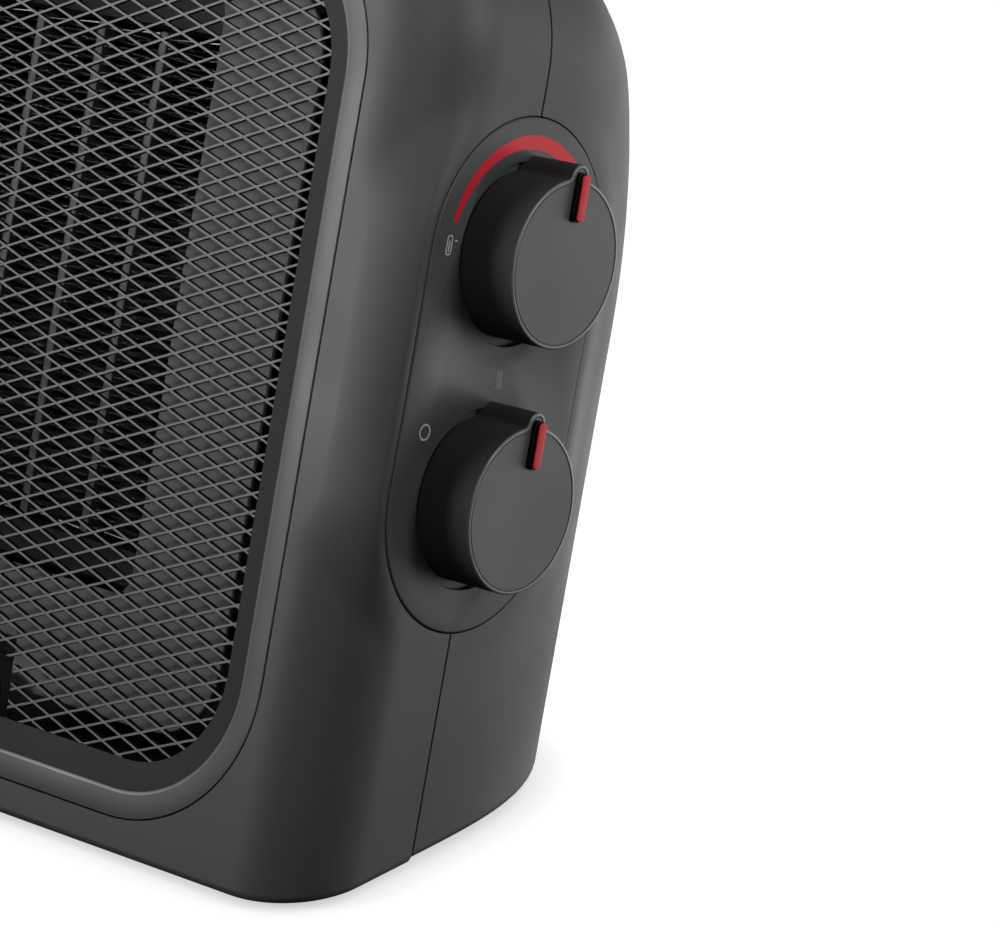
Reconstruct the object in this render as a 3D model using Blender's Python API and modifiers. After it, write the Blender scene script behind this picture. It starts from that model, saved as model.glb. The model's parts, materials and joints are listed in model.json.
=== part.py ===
"""Ceramic space heater: a back-leaning two-piece housing around a ceramic element and an axial fan.

Everything but the base plate's fixings is laid out in the heater's own leaning frame, held by the
empty "lean_frame": x to the heater's right, y backwards from the plane where the front and rear
shells meet, z up the front face from the line where that face meets the floor. The empty tilts the
frame back, and puts the middle of the whole box over the world's origin, feet on z = 0.
"""

from math import atan2, ceil, cos, degrees, hypot, pi, radians, sin, sqrt, tan

import bmesh
import bpy
from mathutils import Matrix, Vector

# ---- driving dimensions (metres) -------------------------------------------------------------
LEAN = radians(16.0)
BODY_WIDTH = 0.250
BODY_TOP = 0.231
FACE_TO_SEAM = 0.0375
SEAM_TO_BACK = 0.0845
FRONT_CORNER = 0.0205
BACK_SQUARENESS = 3.3
BACK_ARC_HEIGHT = 0.0965
TOP_CORNER = 0.040
FACE_TOP_EDGE = 0.008
BOTTOM_EDGE = 0.007
BOTTOM_LIP = 0.003
WALL = 0.0024
SEAM_GAP = 0.0006
REAR_LIFT = 0.0008
FIT = 0.0003
TRIM_GAP = 0.0006

FOOT_STAND = 0.0015
FOOT_RADIUS = 0.008
FOOT_INSET_X = 0.026
FOOT_INSET_FRONT = 0.024
FOOT_INSET_BACK = 0.037
BASE_THICKNESS = 0.0025
SCREW_HEAD_RADIUS = 0.0035
SCREW_SHANK_RADIUS = 0.0016
SCREW_LENGTH = 0.009
SCREW_HEAD_HEIGHT = 0.0016

BEZEL_MARGIN = 0.0087
BEZEL_FLAT = 0.0056
BEZEL_SLOPE = 0.0070
BEZEL_SLOPE_DEPTH = 0.0034
BEZEL_LIP_DEPTH = 0.0030
BEZEL_CORNER = 0.0386
MESH_SETBACK = 0.0040
MESH_THICKNESS = 0.0008
MESH_DIAMOND = 0.0342
MESH_ASPECT = 0.37
MESH_STRAND = 0.0026

BADGE_WIDTH = 0.0570
BADGE_HEIGHT = 0.0200
BADGE_THICKNESS = 0.0030
BADGE_CORNER = 0.0050
BADGE_NOTCH_WIDTH = 0.0470
BADGE_NOTCH_RISE = 0.0150

BAFFLE_DEPTH = 0.0068
BAFFLE_THICKNESS = 0.0012
BAFFLE_SIDE_GAP = 0.0088
BAFFLE_CORNER = 0.0190
BAFFLE_NOTCH_WIDTH = 0.0376
BAFFLE_NOTCH_RISE = 0.0162

COLUMNS = 5
COLUMN_PITCH = 0.01995
BAR_THICKNESS = 0.0026
FIN_HEIGHT = 0.1185
FIN_DEPTH = 0.0150
FIN_PITCH = 0.0079
FIN_SHEET = 0.0006
HOLDER_HEIGHT = 0.0105
ELEMENT_CENTRE = 0.12655
ELEMENT_DEPTH = 0.0114

PANEL_RADIUS = 0.0308
PANEL_CENTRE = 0.12315
KNOB_SPACING = 0.0555
PANEL_THICKNESS = 0.0030
PANEL_SET_IN = 0.0004
FLARE_RIM = 0.0010
FLARE_REACH = 0.0060
WELL_RADIUS = 0.0209
WELL_DEPTH = 0.0010
KNOB_RADIUS = 0.0190
KNOB_STAND = 0.01406
KNOB_RIB_REACH = 0.0033
KNOB_RIB_WIDTH = 0.0074
KNOB_EDGE = 0.0007
POINTER_LENGTH = 0.0108
POINTER_WIDTH = 0.0029
POINTER_OUTER = 0.0210
POINTER_PAD_RIM = 0.0008
POINTER_PAD_HEIGHT = 0.0010
POINTER_SINK = 0.0006
POINTER_PROUD = 0.0003
SPINDLE_RADIUS = 0.0030
SPINDLE_LENGTH = 0.0220
SPINDLE_START = 0.0125
SWITCH_DEPTH = 0.0200
SWITCH_SIDE = 0.0260

FAN_RADIUS = 0.0490
FAN_TIP_GAP = 0.0030
FAN_HUB_RADIUS = 0.0140
FAN_BLADES = 7
FAN_START = 0.0090
FAN_DEPTH = 0.0130
BLADE_THICKNESS = 0.0012
SHROUD_WALL = 0.0020
COLLAR_DEPTH = 0.0180
DUCT_MARGIN = 0.0040
SHAFT_RADIUS = 0.0020
SHAFT_CLEARANCE = 0.0003
MOTOR_RADIUS = 0.0250
MOTOR_LENGTH = 0.0300
MOTOR_BOSS_RADIUS = 0.0080
MOTOR_BOSS_LENGTH = 0.0050
BRACKET_THICKNESS = 0.0025
BRACKET_ARM_WIDTH = 0.0090
BRACKET_HUB_RADIUS = 0.0180

GRILLE_WIDTH = 0.124
GRILLE_HEIGHT = 0.088
GRILLE_BOTTOM = 0.062
GRILLE_CORNER = 0.014
GRILLE_THICKNESS = 0.0030
GRILLE_SET_IN = 0.0020
GRILLE_SLOT = 0.0042
GRILLE_RIB = 0.0030
GRILLE_EDGE = 0.0070
FILTER_THICKNESS = 0.0025
FILTER_GAP = 0.0010

GRIP_WIDTH = 0.094
GRIP_HEIGHT = 0.030
GRIP_DEPTH = 0.024
GRIP_WALL = 0.0020
GRIP_RISE = radians(42.0)

GLAND_X = 0.045
GLAND_Z = 0.0500
GLAND_RADIUS = 0.0065
GLAND_FLANGE_RADIUS = 0.0090
GLAND_FLANGE_DEPTH = 0.0020
GLAND_LENGTH = 0.0180
GLAND_BORE = 0.0034

CUTOUT_RADIUS = 0.0080
CUTOUT_DEPTH = 0.0070
FUSE_RADIUS = 0.0020
FUSE_LENGTH = 0.0140
SAFETY_X = 0.0640
TILT_WIDTH = 0.0220
TILT_DEPTH = 0.0160
TILT_HEIGHT = 0.0200
BLOCK_X = 0.0450
TERMINAL_WIDTH = 0.0320
TERMINAL_DEPTH = 0.0140
TERMINAL_HEIGHT = 0.0120

ROUND_STEPS = 32
RING_STEP = 0.009

# ---- sizes that follow -----------------------------------------------------------------------
HALF_WIDTH = BODY_WIDTH / 2
BACK_ARC_START = BODY_TOP - BACK_ARC_HEIGHT
FACE_Y = -FACE_TO_SEAM
MESH_Y = FACE_Y + MESH_SETBACK
BAFFLE_Y = MESH_Y + BAFFLE_DEPTH
ELEMENT_Y = MESH_Y + ELEMENT_DEPTH
OPENING_HALF = HALF_WIDTH - FRONT_CORNER
OPENING_BOTTOM = BEZEL_MARGIN
OPENING_TOP = BODY_TOP - BEZEL_MARGIN
BEZEL_BAND = BEZEL_FLAT + BEZEL_SLOPE
WINDOW_HALF = OPENING_HALF - TRIM_GAP - BEZEL_BAND
WINDOW_BOTTOM = OPENING_BOTTOM + TRIM_GAP + BEZEL_BAND
WINDOW_TOP = OPENING_TOP - TRIM_GAP - BEZEL_BAND
ELEMENT_HALF = COLUMNS * COLUMN_PITCH / 2 + BAR_THICKNESS / 2
PANEL_X = HALF_WIDTH - PANEL_SET_IN
KNOB_CENTRES = {
    "thermostat": PANEL_CENTRE + KNOB_SPACING / 2,
    "mode": PANEL_CENTRE - KNOB_SPACING / 2,
}
KNOB_FACE_X = PANEL_X + KNOB_STAND
WORLD_HALF_WIDTH = (HALF_WIDTH + KNOB_FACE_X + POINTER_PAD_HEIGHT + POINTER_PROUD) / 2
BODY_X = HALF_WIDTH - WORLD_HALF_WIDTH

HEATER = bpy.data.collections.new("ceramic_space_heater")
CUTTERS = bpy.data.collections.new("cutters")


# ---- scene, materials and objects ------------------------------------------------------------
def clear_scene():
    """Take away whatever the scene starts with."""
    for obj in list(bpy.data.objects):
        bpy.data.objects.remove(obj, do_unlink=True)
    bpy.context.scene.collection.children.link(HEATER)
    bpy.context.scene.collection.children.link(CUTTERS)
    CUTTERS.hide_render = True


def material(name, colour, roughness, metallic=0.0):
    """A Principled material, made once for each name."""
    found = bpy.data.materials.get(name)
    if found:
        return found
    made = bpy.data.materials.new(name)
    made.use_nodes = True
    made.diffuse_color = (*colour, 1.0)
    shader = made.node_tree.nodes["Principled BSDF"]
    shader.inputs["Base Color"].default_value = (*colour, 1.0)
    shader.inputs["Roughness"].default_value = roughness
    shader.inputs["Metallic"].default_value = metallic
    return made


def bottom_edge():
    """The rounded lower edge, as (inset, rise) from the floor up to the side."""
    turns = [step * pi / 6 for step in range(4)]
    return [(BOTTOM_EDGE * (1 - sin(turn)), BOTTOM_EDGE * (1 - cos(turn))) for turn in turns]


def body_extent_y():
    """How far forward and back of the lean frame's origin the housing reaches, once it is tilted."""
    edge = [(FACE_Y + inset, inset * tan(LEAN) + rise) for inset, rise in bottom_edge()]
    front = min(y * cos(LEAN) + z * sin(LEAN) for y, z in edge)
    back = BACK_ARC_START * sin(LEAN) + hypot(SEAM_TO_BACK * cos(LEAN), BACK_ARC_HEIGHT * sin(LEAN))
    return front, back


def lean_frame():
    """The tilted empty that carries every piece."""
    front, back = body_extent_y()
    empty = bpy.data.objects.new("lean_frame", None)
    HEATER.objects.link(empty)
    empty.rotation_euler = (-LEAN, 0, 0)
    lift = FOOT_STAND - FACE_TO_SEAM * sin(LEAN)
    empty.location = (BODY_X, -(front + back) / 2, lift)
    return empty


def place(name, mesh, look=None, at=(0, 0, 0), cutter=False):
    """Make an object of a mesh in the lean frame, its origin at the given point."""
    obj = bpy.data.objects.new(name, mesh)
    (CUTTERS if cutter else HEATER).objects.link(obj)
    obj.parent = bpy.data.objects["lean_frame"]
    obj.location = at
    if look:
        mesh.materials.clear()
        mesh.materials.append(look)
    if cutter:
        obj.hide_render = True
        obj.display_type = "WIRE"
    else:
        mesh.shade_smooth()
        mesh.set_sharp_from_angle(angle=radians(32))
    return obj


def mesh_of(build):
    """A mesh filled by a function that is given a new bmesh."""
    mesh = bpy.data.meshes.new("part")
    bm = bmesh.new()
    build(bm)
    bmesh.ops.recalc_face_normals(bm, faces=bm.faces)
    bm.to_mesh(mesh)
    bm.free()
    return mesh


def box_mesh(low, high):
    """A box between two corners."""
    middle = (Vector(low) + Vector(high)) / 2
    size = Vector(high) - Vector(low)

    def build(bm):
        bmesh.ops.create_cube(bm, size=1.0, matrix=Matrix.Translation(middle) @ Matrix.Diagonal((*size, 1)))

    return mesh_of(build)


AXIS_TURN = {
    "x": Matrix.Rotation(pi / 2, 4, "Y"),
    "y": Matrix.Rotation(-pi / 2, 4, "X"),
    "z": Matrix.Identity(4),
}


def rod_mesh(radius, start, end, axis="y", centre=(0, 0, 0), steps=ROUND_STEPS):
    """A cylinder along an axis, from start to end along it."""
    along = Matrix.Translation((0, 0, (start + end) / 2))

    def build(bm):
        bmesh.ops.create_cone(
            bm,
            cap_ends=True,
            segments=steps,
            radius1=radius,
            radius2=radius,
            depth=end - start,
            matrix=Matrix.Translation(centre) @ AXIS_TURN[axis] @ along,
        )

    return mesh_of(build)


def turned_mesh(profile, axis="y", steps=ROUND_STEPS):
    """A solid turned from a closed profile of (radius, height) points by a Screw modifier."""
    flat = bpy.data.meshes.new("profile")
    corners = [(radius, 0, height) for radius, height in profile]
    edges = [(i, (i + 1) % len(corners)) for i in range(len(corners))]
    flat.from_pydata(corners, edges, [])
    obj = bpy.data.objects.new("profile", flat)
    bpy.context.scene.collection.objects.link(obj)
    screw = obj.modifiers.new("Screw", "SCREW")
    screw.steps = screw.render_steps = steps
    screw.use_merge_vertices = True
    screw.merge_threshold = 0.00001
    solid = realised(obj)
    solid.transform(AXIS_TURN[axis])
    outward(solid)
    return solid


def realised(obj):
    """The evaluated mesh of a helper object, welded, with the helper taken away."""
    bpy.context.view_layer.update()
    evaluated = obj.evaluated_get(bpy.context.evaluated_depsgraph_get())
    mesh = bpy.data.meshes.new_from_object(evaluated)
    bpy.data.objects.remove(obj, do_unlink=True)
    bm = bmesh.new()
    bm.from_mesh(mesh)
    bmesh.ops.remove_doubles(bm, verts=bm.verts, dist=0.000001)
    bmesh.ops.recalc_face_normals(bm, faces=bm.faces)
    bm.to_mesh(mesh)
    bm.free()
    return mesh


def outward(mesh):
    """Turn a closed mesh's faces outwards."""
    bm = bmesh.new()
    bm.from_mesh(mesh)
    bmesh.ops.recalc_face_normals(bm, faces=bm.faces)
    if bm.calc_volume(signed=True) < 0:
        bmesh.ops.reverse_faces(bm, faces=bm.faces)
    bm.to_mesh(mesh)
    bm.free()


# A flat outline is drawn in (u, v). These turn it so that it faces along one axis of the frame.
FLAT_TURN = {
    "y": Matrix(((1, 0, 0, 0), (0, 0, 1, 0), (0, 1, 0, 0), (0, 0, 0, 1))),
    "x": Matrix(((0, 0, 1, 0), (1, 0, 0, 0), (0, 1, 0, 0), (0, 0, 0, 1))),
    "z": Matrix.Identity(4),
}


def flat_mesh(outlines, start, end, facing="y"):
    """A filled flat curve, holes and all, extruded from start to end along the axis it faces."""
    curve = bpy.data.curves.new("outline", "CURVE")
    curve.dimensions = "2D"
    curve.fill_mode = "BOTH"
    curve.extrude = (end - start) / 2
    for outline in outlines:
        spline = curve.splines.new("POLY")
        spline.points.add(len(outline) - 1)
        for point, (u, v) in zip(spline.points, outline):
            point.co = (u, v, 0, 1)
        spline.use_cyclic_u = True
    obj = bpy.data.objects.new("outline", curve)
    bpy.context.scene.collection.objects.link(obj)
    mesh = realised(obj)
    mesh.transform(FLAT_TURN[facing] @ Matrix.Translation((0, 0, (start + end) / 2)))
    outward(mesh)
    return mesh


def arc(centre, radius, first, last, steps):
    """Points along an arc, both ends included; angles in radians."""
    turn = (last - first) / steps
    return [
        (centre[0] + radius * cos(first + turn * i), centre[1] + radius * sin(first + turn * i))
        for i in range(steps + 1)
    ]


def rounded_rectangle(half, bottom, top, radius, steps=6):
    """A rounded rectangle from -half to half and from bottom to top."""
    points = []
    corners = (
        (half - radius, top - radius, 0.0),
        (radius - half, top - radius, pi / 2),
        (radius - half, bottom + radius, pi),
        (half - radius, bottom + radius, 3 * pi / 2),
    )
    for u, v, turn in corners:
        points += arc((u, v), radius, turn, turn + pi / 2, steps)
    return points


def capsule(radius, steps=14):
    """The control panel's outline in (y, z), round both knobs."""
    upper = arc((0, KNOB_CENTRES["thermostat"]), radius, 0, pi, steps)
    lower = arc((0, KNOB_CENTRES["mode"]), radius, pi, 2 * pi, steps)
    return upper + lower


def cut(obj, *cutters):
    """Take each cutter out of an object."""
    for cutter in cutters:
        boolean = obj.modifiers.new(cutter.name, "BOOLEAN")
        boolean.operation = "DIFFERENCE"
        boolean.object = cutter
        boolean.solver = "EXACT"


def join(obj, *others):
    """Join helper solids to an object."""
    for other in others:
        boolean = obj.modifiers.new(other.name, "BOOLEAN")
        boolean.operation = "UNION"
        boolean.object = other
        boolean.solver = "EXACT"


def bevel(obj, width, segments=2, angle=radians(50)):
    """Round the sharp edges of an object."""
    modifier = obj.modifiers.new("Bevel", "BEVEL")
    modifier.width = width
    modifier.segments = segments
    modifier.limit_method = "ANGLE"
    modifier.angle_limit = angle


# ---- finishes --------------------------------------------------------------------------------
def look_shell():
    return material("shell_plastic", (0.085, 0.088, 0.090), 0.42)


def look_bezel():
    return material("bezel_plastic", (0.10, 0.103, 0.106), 0.40)


def look_knob():
    return material("knob_plastic", (0.065, 0.067, 0.069), 0.38)


def look_steel():
    return material("mesh_steel", (0.48, 0.48, 0.47), 0.38, 0.9)


def look_baffle():
    return material("baffle_steel", (0.22, 0.225, 0.23), 0.5, 0.3)


def look_red():
    return material("signal_red", (0.62, 0.06, 0.07), 0.35)


def look_black():
    return material("heatproof_black", (0.012, 0.012, 0.013), 0.5)


def look_aluminium():
    return material("fin_aluminium", (0.62, 0.63, 0.64), 0.35, 1.0)


def look_rubber():
    return material("foot_rubber", (0.02, 0.02, 0.02), 0.8)


def look_zinc():
    return material("zinc_steel", (0.55, 0.55, 0.53), 0.35, 1.0)


def look_white():
    return material("ceramic_white", (0.75, 0.74, 0.70), 0.5)


# ---- the housing's skin ----------------------------------------------------------------------
def floor_height(y):
    """Height, in the lean frame, of the floor plane under a point."""
    return (y + FACE_TO_SEAM) * tan(LEAN)


def edge_fall(z, radius):
    """How far an edge of this radius has drawn in at a height near the top."""
    into = max(0.0, z - (BODY_TOP - radius))
    return radius - sqrt(max(0.0, radius**2 - into**2))


def half_width(z):
    return HALF_WIDTH - edge_fall(z, TOP_CORNER)


def face_reach(z):
    return FACE_TO_SEAM - edge_fall(z, FACE_TOP_EDGE)


def back_reach(z):
    into = max(0.0, z - BACK_ARC_START) / BACK_ARC_HEIGHT
    return SEAM_TO_BACK * sqrt(max(0.0, 1 - into**2))


def resample(points, count):
    """The same line with points spread evenly along it."""
    spans = [0.0]
    for (x0, y0), (x1, y1) in zip(points, points[1:]):
        spans.append(spans[-1] + hypot(x1 - x0, y1 - y0))
    if spans[-1] == 0:
        return [points[0]] * (count + 1)
    spread = []
    place_on = 0
    for i in range(count + 1):
        want = spans[-1] * i / count
        while place_on < len(points) - 2 and spans[place_on + 1] < want:
            place_on += 1
        (x0, y0), (x1, y1) = points[place_on], points[place_on + 1]
        span = spans[place_on + 1] - spans[place_on]
        share = (want - spans[place_on]) / span if span else 0.0
        spread.append((x0 + (x1 - x0) * share, y0 + (y1 - y0) * share))
    return spread


def front_outline(z, inset, count):
    """The front shell's outline at a height, from the right seam round to the left one."""
    half, reach = half_width(z) - inset, face_reach(z) - inset
    radius = FRONT_CORNER - inset
    turn = arc((half - radius, radius - reach), radius, 0, -pi / 2, count - 6)
    side = resample([(half, -SEAM_GAP / 2), turn[0]], 3)
    face = resample([turn[-1], (0.0, -reach)], 3)
    right = side + turn[1:] + face[1:]
    return right + [(-x, y) for x, y in reversed(right[:-1])]


def back_outline(z, inset, count):
    """The rear shell's outline at a height, from the right seam round to the left one."""
    half, reach = half_width(z) - inset, max(0.0, back_reach(z) - inset)
    power = 2 / BACK_SQUARENESS
    fine = 60
    quarter = [
        (half * cos(i * pi / 2 / fine) ** power, SEAM_GAP / 2 + reach * sin(i * pi / 2 / fine) ** power)
        for i in range(fine + 1)
    ]
    quarter[-1] = (0.0, SEAM_GAP / 2 + reach)
    right = resample(quarter, count)
    return right + [(-x, y) for x, y in reversed(right[:-1])]


def flare(x, y, z):
    """Bring the right side out to the control panel's rim, easing back into the corner's curve."""
    if x <= 0:
        return x
    middle = min(max(z, KNOB_CENTRES["mode"]), KNOB_CENTRES["thermostat"])
    away = hypot(y, z - middle) - PANEL_RADIUS - FLARE_RIM
    share = min(max(away / FLARE_REACH, 0.0), 1.0)
    blend = 1 - share * share * (3 - 2 * share)
    return x + (HALF_WIDTH - x) * blend if x > HALF_WIDTH - FRONT_CORNER else x


def skin_rings(outline, count, lift):
    """Rings of points from the inner edge of the underside to the top of the housing."""
    rings = []

    def ring(inset, height):
        """One ring: height is a function of (y) or a level."""
        level = height if isinstance(height, float) else 0.0
        points = []
        for x, y in outline(level, inset, count):
            z = height if isinstance(height, float) else height(y)
            points.append((flare(x, y, z), y, z))
        rings.append(points)

    ring(BOTTOM_EDGE + BOTTOM_LIP, lambda y: floor_height(y) + lift)
    for inset, rise in bottom_edge():
        ring(inset, lambda y, up=rise: floor_height(y) + lift + up)
    first_level = ceil(1000 * (floor_height(SEAM_TO_BACK) + 3 * BOTTOM_EDGE)) / 1000
    for share in (0.34, 0.67):
        ring(
            0.0,
            lambda y, part=share: (1 - part) * (floor_height(y) + lift + BOTTOM_EDGE)
            + part * first_level,
        )
    last_level = BODY_TOP - TOP_CORNER - 0.004
    levels = ceil((last_level - first_level) / RING_STEP)
    for i in range(levels + 1):
        ring(0.0, first_level + (last_level - first_level) * i / levels)
    start = (BODY_TOP - TOP_CORNER - BACK_ARC_START) / BACK_ARC_HEIGHT
    first_turn = atan2(start, sqrt(1 - start**2))
    steps = 10
    for i in range(steps + 1):
        turn = first_turn + (pi / 2 - first_turn) * (1 - (1 - i / steps) ** 1.25)
        ring(0.0, BACK_ARC_START + BACK_ARC_HEIGHT * sin(turn))
    return rings


def skin_mesh(outline, count, lift, closed_top):
    """The open skin over a set of rings. The front shell's top is closed by its last ring."""
    rings = skin_rings(outline, count, lift)

    def build(bm):
        rows = [[bm.verts.new(point) for point in ring] for ring in rings]
        for lower, upper in zip(rows, rows[1:]):
            for i in range(len(lower) - 1):
                bm.faces.new((lower[i], lower[i + 1], upper[i + 1], upper[i]))
        if closed_top:
            bm.faces.new(rows[-1])
        bmesh.ops.remove_doubles(bm, verts=bm.verts, dist=0.0000005)

    return mesh_of(build)


def shell(name, outline, lift, closed_top):
    """A shell with walls, its surface facing away from the heater's middle."""
    mesh = skin_mesh(outline, 15, lift, closed_top)
    middle = Vector((0, 0, BODY_TOP / 2))
    side = sum((face.center - middle).dot(face.normal) for face in mesh.polygons)
    if side < 0:
        mesh.flip_normals()
    obj = place(name, mesh, look_shell())
    solid = obj.modifiers.new("Solidify", "SOLIDIFY")
    solid.thickness = WALL
    solid.offset = -1.0
    solid.use_rim = True
    return obj


def grip_frame():
    """Where the carrying grip's mouth lies: a frame whose z axis looks out of the housing."""
    centre = Vector((0, SEAM_TO_BACK * cos(GRIP_RISE), BACK_ARC_START + BACK_ARC_HEIGHT * sin(GRIP_RISE)))
    out = Vector((0, cos(GRIP_RISE) / SEAM_TO_BACK, sin(GRIP_RISE) / BACK_ARC_HEIGHT)).normalized()
    across = Vector((1, 0, 0))
    up = out.cross(across)
    frame = Matrix((across, up, out)).transposed().to_4x4()
    return Matrix.Translation(centre) @ frame


def housing():
    """Front shell, rear shell, base plate, its screws and the rubber feet."""
    front = shell("front_shell", front_outline, 0.0, True)
    window = rounded_rectangle(OPENING_HALF, OPENING_BOTTOM, OPENING_TOP, BEZEL_CORNER + TRIM_GAP, 8)
    cut(
        front,
        place("front_opening", flat_mesh([window], FACE_Y - WALL, MESH_Y + BEZEL_LIP_DEPTH), cutter=True),
    )
    panel_hole = capsule(PANEL_RADIUS + TRIM_GAP)
    panel_cutter = place(
        "panel_opening",
        flat_mesh([panel_hole], PANEL_X - FRONT_CORNER, PANEL_X + FRONT_CORNER, "x"),
        cutter=True,
    )
    cut(front, panel_cutter)
    rear = shell("rear_shell", back_outline, REAR_LIFT, False)
    grille_hole = rounded_rectangle(
        GRILLE_WIDTH / 2 + FIT, GRILLE_BOTTOM - FIT, GRILLE_BOTTOM + GRILLE_HEIGHT + FIT, GRILLE_CORNER + FIT
    )
    deep = SEAM_TO_BACK - 4 * WALL
    grille_cutter = place(
        "rear_opening", flat_mesh([grille_hole], deep, SEAM_TO_BACK + WALL), cutter=True
    )
    mouth = rounded_rectangle(GRIP_WIDTH / 2, -GRIP_HEIGHT / 2, GRIP_HEIGHT / 2, GRIP_HEIGHT / 3)
    mouth_mesh = flat_mesh([mouth], -6 * WALL, 4 * WALL, "z")
    mouth_mesh.transform(grip_frame())
    mouth_cutter = place("grip_mouth", mouth_mesh, cutter=True)
    gland_hole = rod_mesh(GLAND_RADIUS + FIT, deep, SEAM_TO_BACK + WALL, centre=(GLAND_X, 0, GLAND_Z))
    cut(rear, panel_cutter, grille_cutter, mouth_cutter, place("gland_hole", gland_hole, cutter=True))
    base_plate()


def base_outline(inset):
    """The housing's outline at the floor, drawn in by an inset, as a closed line."""
    front = front_outline(0.0, inset, 15)
    back = back_outline(0.0, inset, 15)
    return front + list(reversed(back))


def floor_point(x, y, height):
    """A point above the floor plane by a height measured square to it."""
    return Vector((x, y - height * sin(LEAN), floor_height(y) + height * cos(LEAN)))


def floor_frame(x, y):
    """A frame on the underside whose z axis is plumb, for feet and screws."""
    return Matrix.Translation(floor_point(x, y, 0.0)) @ Matrix.Rotation(LEAN, 4, "X")


def foot_places():
    """The four feet's places, by name, set in from the outline's own edges."""
    x = HALF_WIDTH - FOOT_INSET_X
    return {
        "front_left": (-x, FACE_Y + FOOT_INSET_FRONT),
        "front_right": (x, FACE_Y + FOOT_INSET_FRONT),
        "rear_left": (-x + FOOT_INSET_X / 2, SEAM_TO_BACK - FOOT_INSET_BACK),
        "rear_right": (x - FOOT_INSET_X / 2, SEAM_TO_BACK - FOOT_INSET_BACK),
    }


def base_plate():
    """The flat plate that closes the underside, its feet below it and its screws through it."""
    inset = BOTTOM_EDGE + BOTTOM_LIP + 2 * TRIM_GAP
    outline = base_outline(inset)

    def build(bm):
        lower = [bm.verts.new(floor_point(x, y, REAR_LIFT)) for x, y in outline]
        upper = [bm.verts.new(floor_point(x, y, REAR_LIFT + BASE_THICKNESS)) for x, y in outline]
        bm.faces.new(lower)
        bm.faces.new(list(reversed(upper)))
        for i in range(len(outline)):
            j = (i + 1) % len(outline)
            bm.faces.new((lower[i], upper[i], upper[j], lower[j]))

    plate = place("base_plate", mesh_of(build), look_shell())
    for corner, (x, y) in foot_places().items():
        foot = rod_mesh(FOOT_RADIUS, -FOOT_STAND, REAR_LIFT - FIT, "z", steps=24)
        foot.transform(floor_frame(x, y))
        place(f"foot_{corner}", foot, look_rubber())
        side, fore = (1 if x > 0 else -1), (1 if y < 0 else -1)
        screw_at = (x - side * 2.2 * FOOT_RADIUS, y + fore * FOOT_RADIUS)
        hole = rod_mesh(SCREW_SHANK_RADIUS + FIT, -BASE_THICKNESS, 3 * BASE_THICKNESS, "z", steps=16)
        hole.transform(floor_frame(*screw_at))
        sink_top = REAR_LIFT + SCREW_HEAD_HEIGHT + FIT
        sink = rod_mesh(SCREW_HEAD_RADIUS + FIT, -BASE_THICKNESS, sink_top, "z", steps=20)
        sink.transform(floor_frame(*screw_at))
        hole_cutter = place(f"screw_hole_{corner}", hole, cutter=True)
        cut(plate, hole_cutter, place(f"screw_sink_{corner}", sink, cutter=True))
        base_screw(corner, screw_at)


def base_screw(corner, at):
    """A pan-head screw in the base plate, driven up from below."""
    low, neck = REAR_LIFT, REAR_LIFT + SCREW_HEAD_HEIGHT
    profile = [
        (0.0, neck + SCREW_LENGTH),
        (SCREW_SHANK_RADIUS, neck + SCREW_LENGTH - SCREW_SHANK_RADIUS),
        (SCREW_SHANK_RADIUS, neck),
        (SCREW_HEAD_RADIUS, neck),
        (SCREW_HEAD_RADIUS, low + SCREW_HEAD_HEIGHT / 3),
        (SCREW_HEAD_RADIUS * 0.8, low),
        (0.0, low),
    ]
    mesh = turned_mesh(profile, "z", 16)
    mesh.transform(floor_frame(*at))
    place(f"base_screw_{corner}", mesh, look_zinc())


# ---- the front: bezel, mesh, badge and baffle ------------------------------------------------
def ring_loft(levels):
    """A closed ring lofted through rounded rectangles: each level is (grow, y)."""
    corner = BEZEL_CORNER - BEZEL_BAND
    outlines = []
    for grow, y in levels:
        flat = rounded_rectangle(
            WINDOW_HALF + grow, WINDOW_BOTTOM - grow, WINDOW_TOP + grow, corner + grow, 8
        )
        outlines.append([(u, y, v) for u, v in flat])

    def build(bm):
        rows = [[bm.verts.new(point) for point in outline] for outline in outlines]
        for one, two in zip(rows, rows[1:] + rows[:1]):
            for i in range(len(one)):
                j = (i + 1) % len(one)
                bm.faces.new((one[i], one[j], two[j], two[i]))

    mesh = mesh_of(build)
    outward(mesh)
    return mesh


def bezel():
    """The frame round the mesh: a shallow slope, a narrow flat band and a lip behind."""
    slope_y = MESH_Y - BEZEL_SLOPE_DEPTH
    edge_y = FACE_Y + FIT
    back_y = MESH_Y + BEZEL_LIP_DEPTH
    levels = [
        (0.0, MESH_Y - FIT),
        (BEZEL_SLOPE, slope_y),
        (BEZEL_BAND, edge_y),
        (BEZEL_BAND, back_y),
        (BEZEL_BAND - WALL, back_y),
        (BEZEL_BAND - WALL, MESH_Y - FIT),
    ]
    place("grille_bezel", ring_loft(levels), look_bezel())


def notched_window(half, bottom, top, radius, notch_half, notch_top):
    """A rounded rectangle with a round-cornered notch rising from the middle of its lower edge."""
    outline = rounded_rectangle(half, bottom, top, radius)
    bend = min(notch_half, notch_top - bottom) / 3
    notch = [(-notch_half, bottom)]
    notch += arc((bend - notch_half, notch_top - bend), bend, pi, pi / 2, 4)
    notch += arc((notch_half - bend, notch_top - bend), bend, pi / 2, 0, 4)
    notch.append((notch_half, bottom))
    corner = 3 * len(outline) // 4
    return outline[:corner] + notch + outline[corner:]


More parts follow.
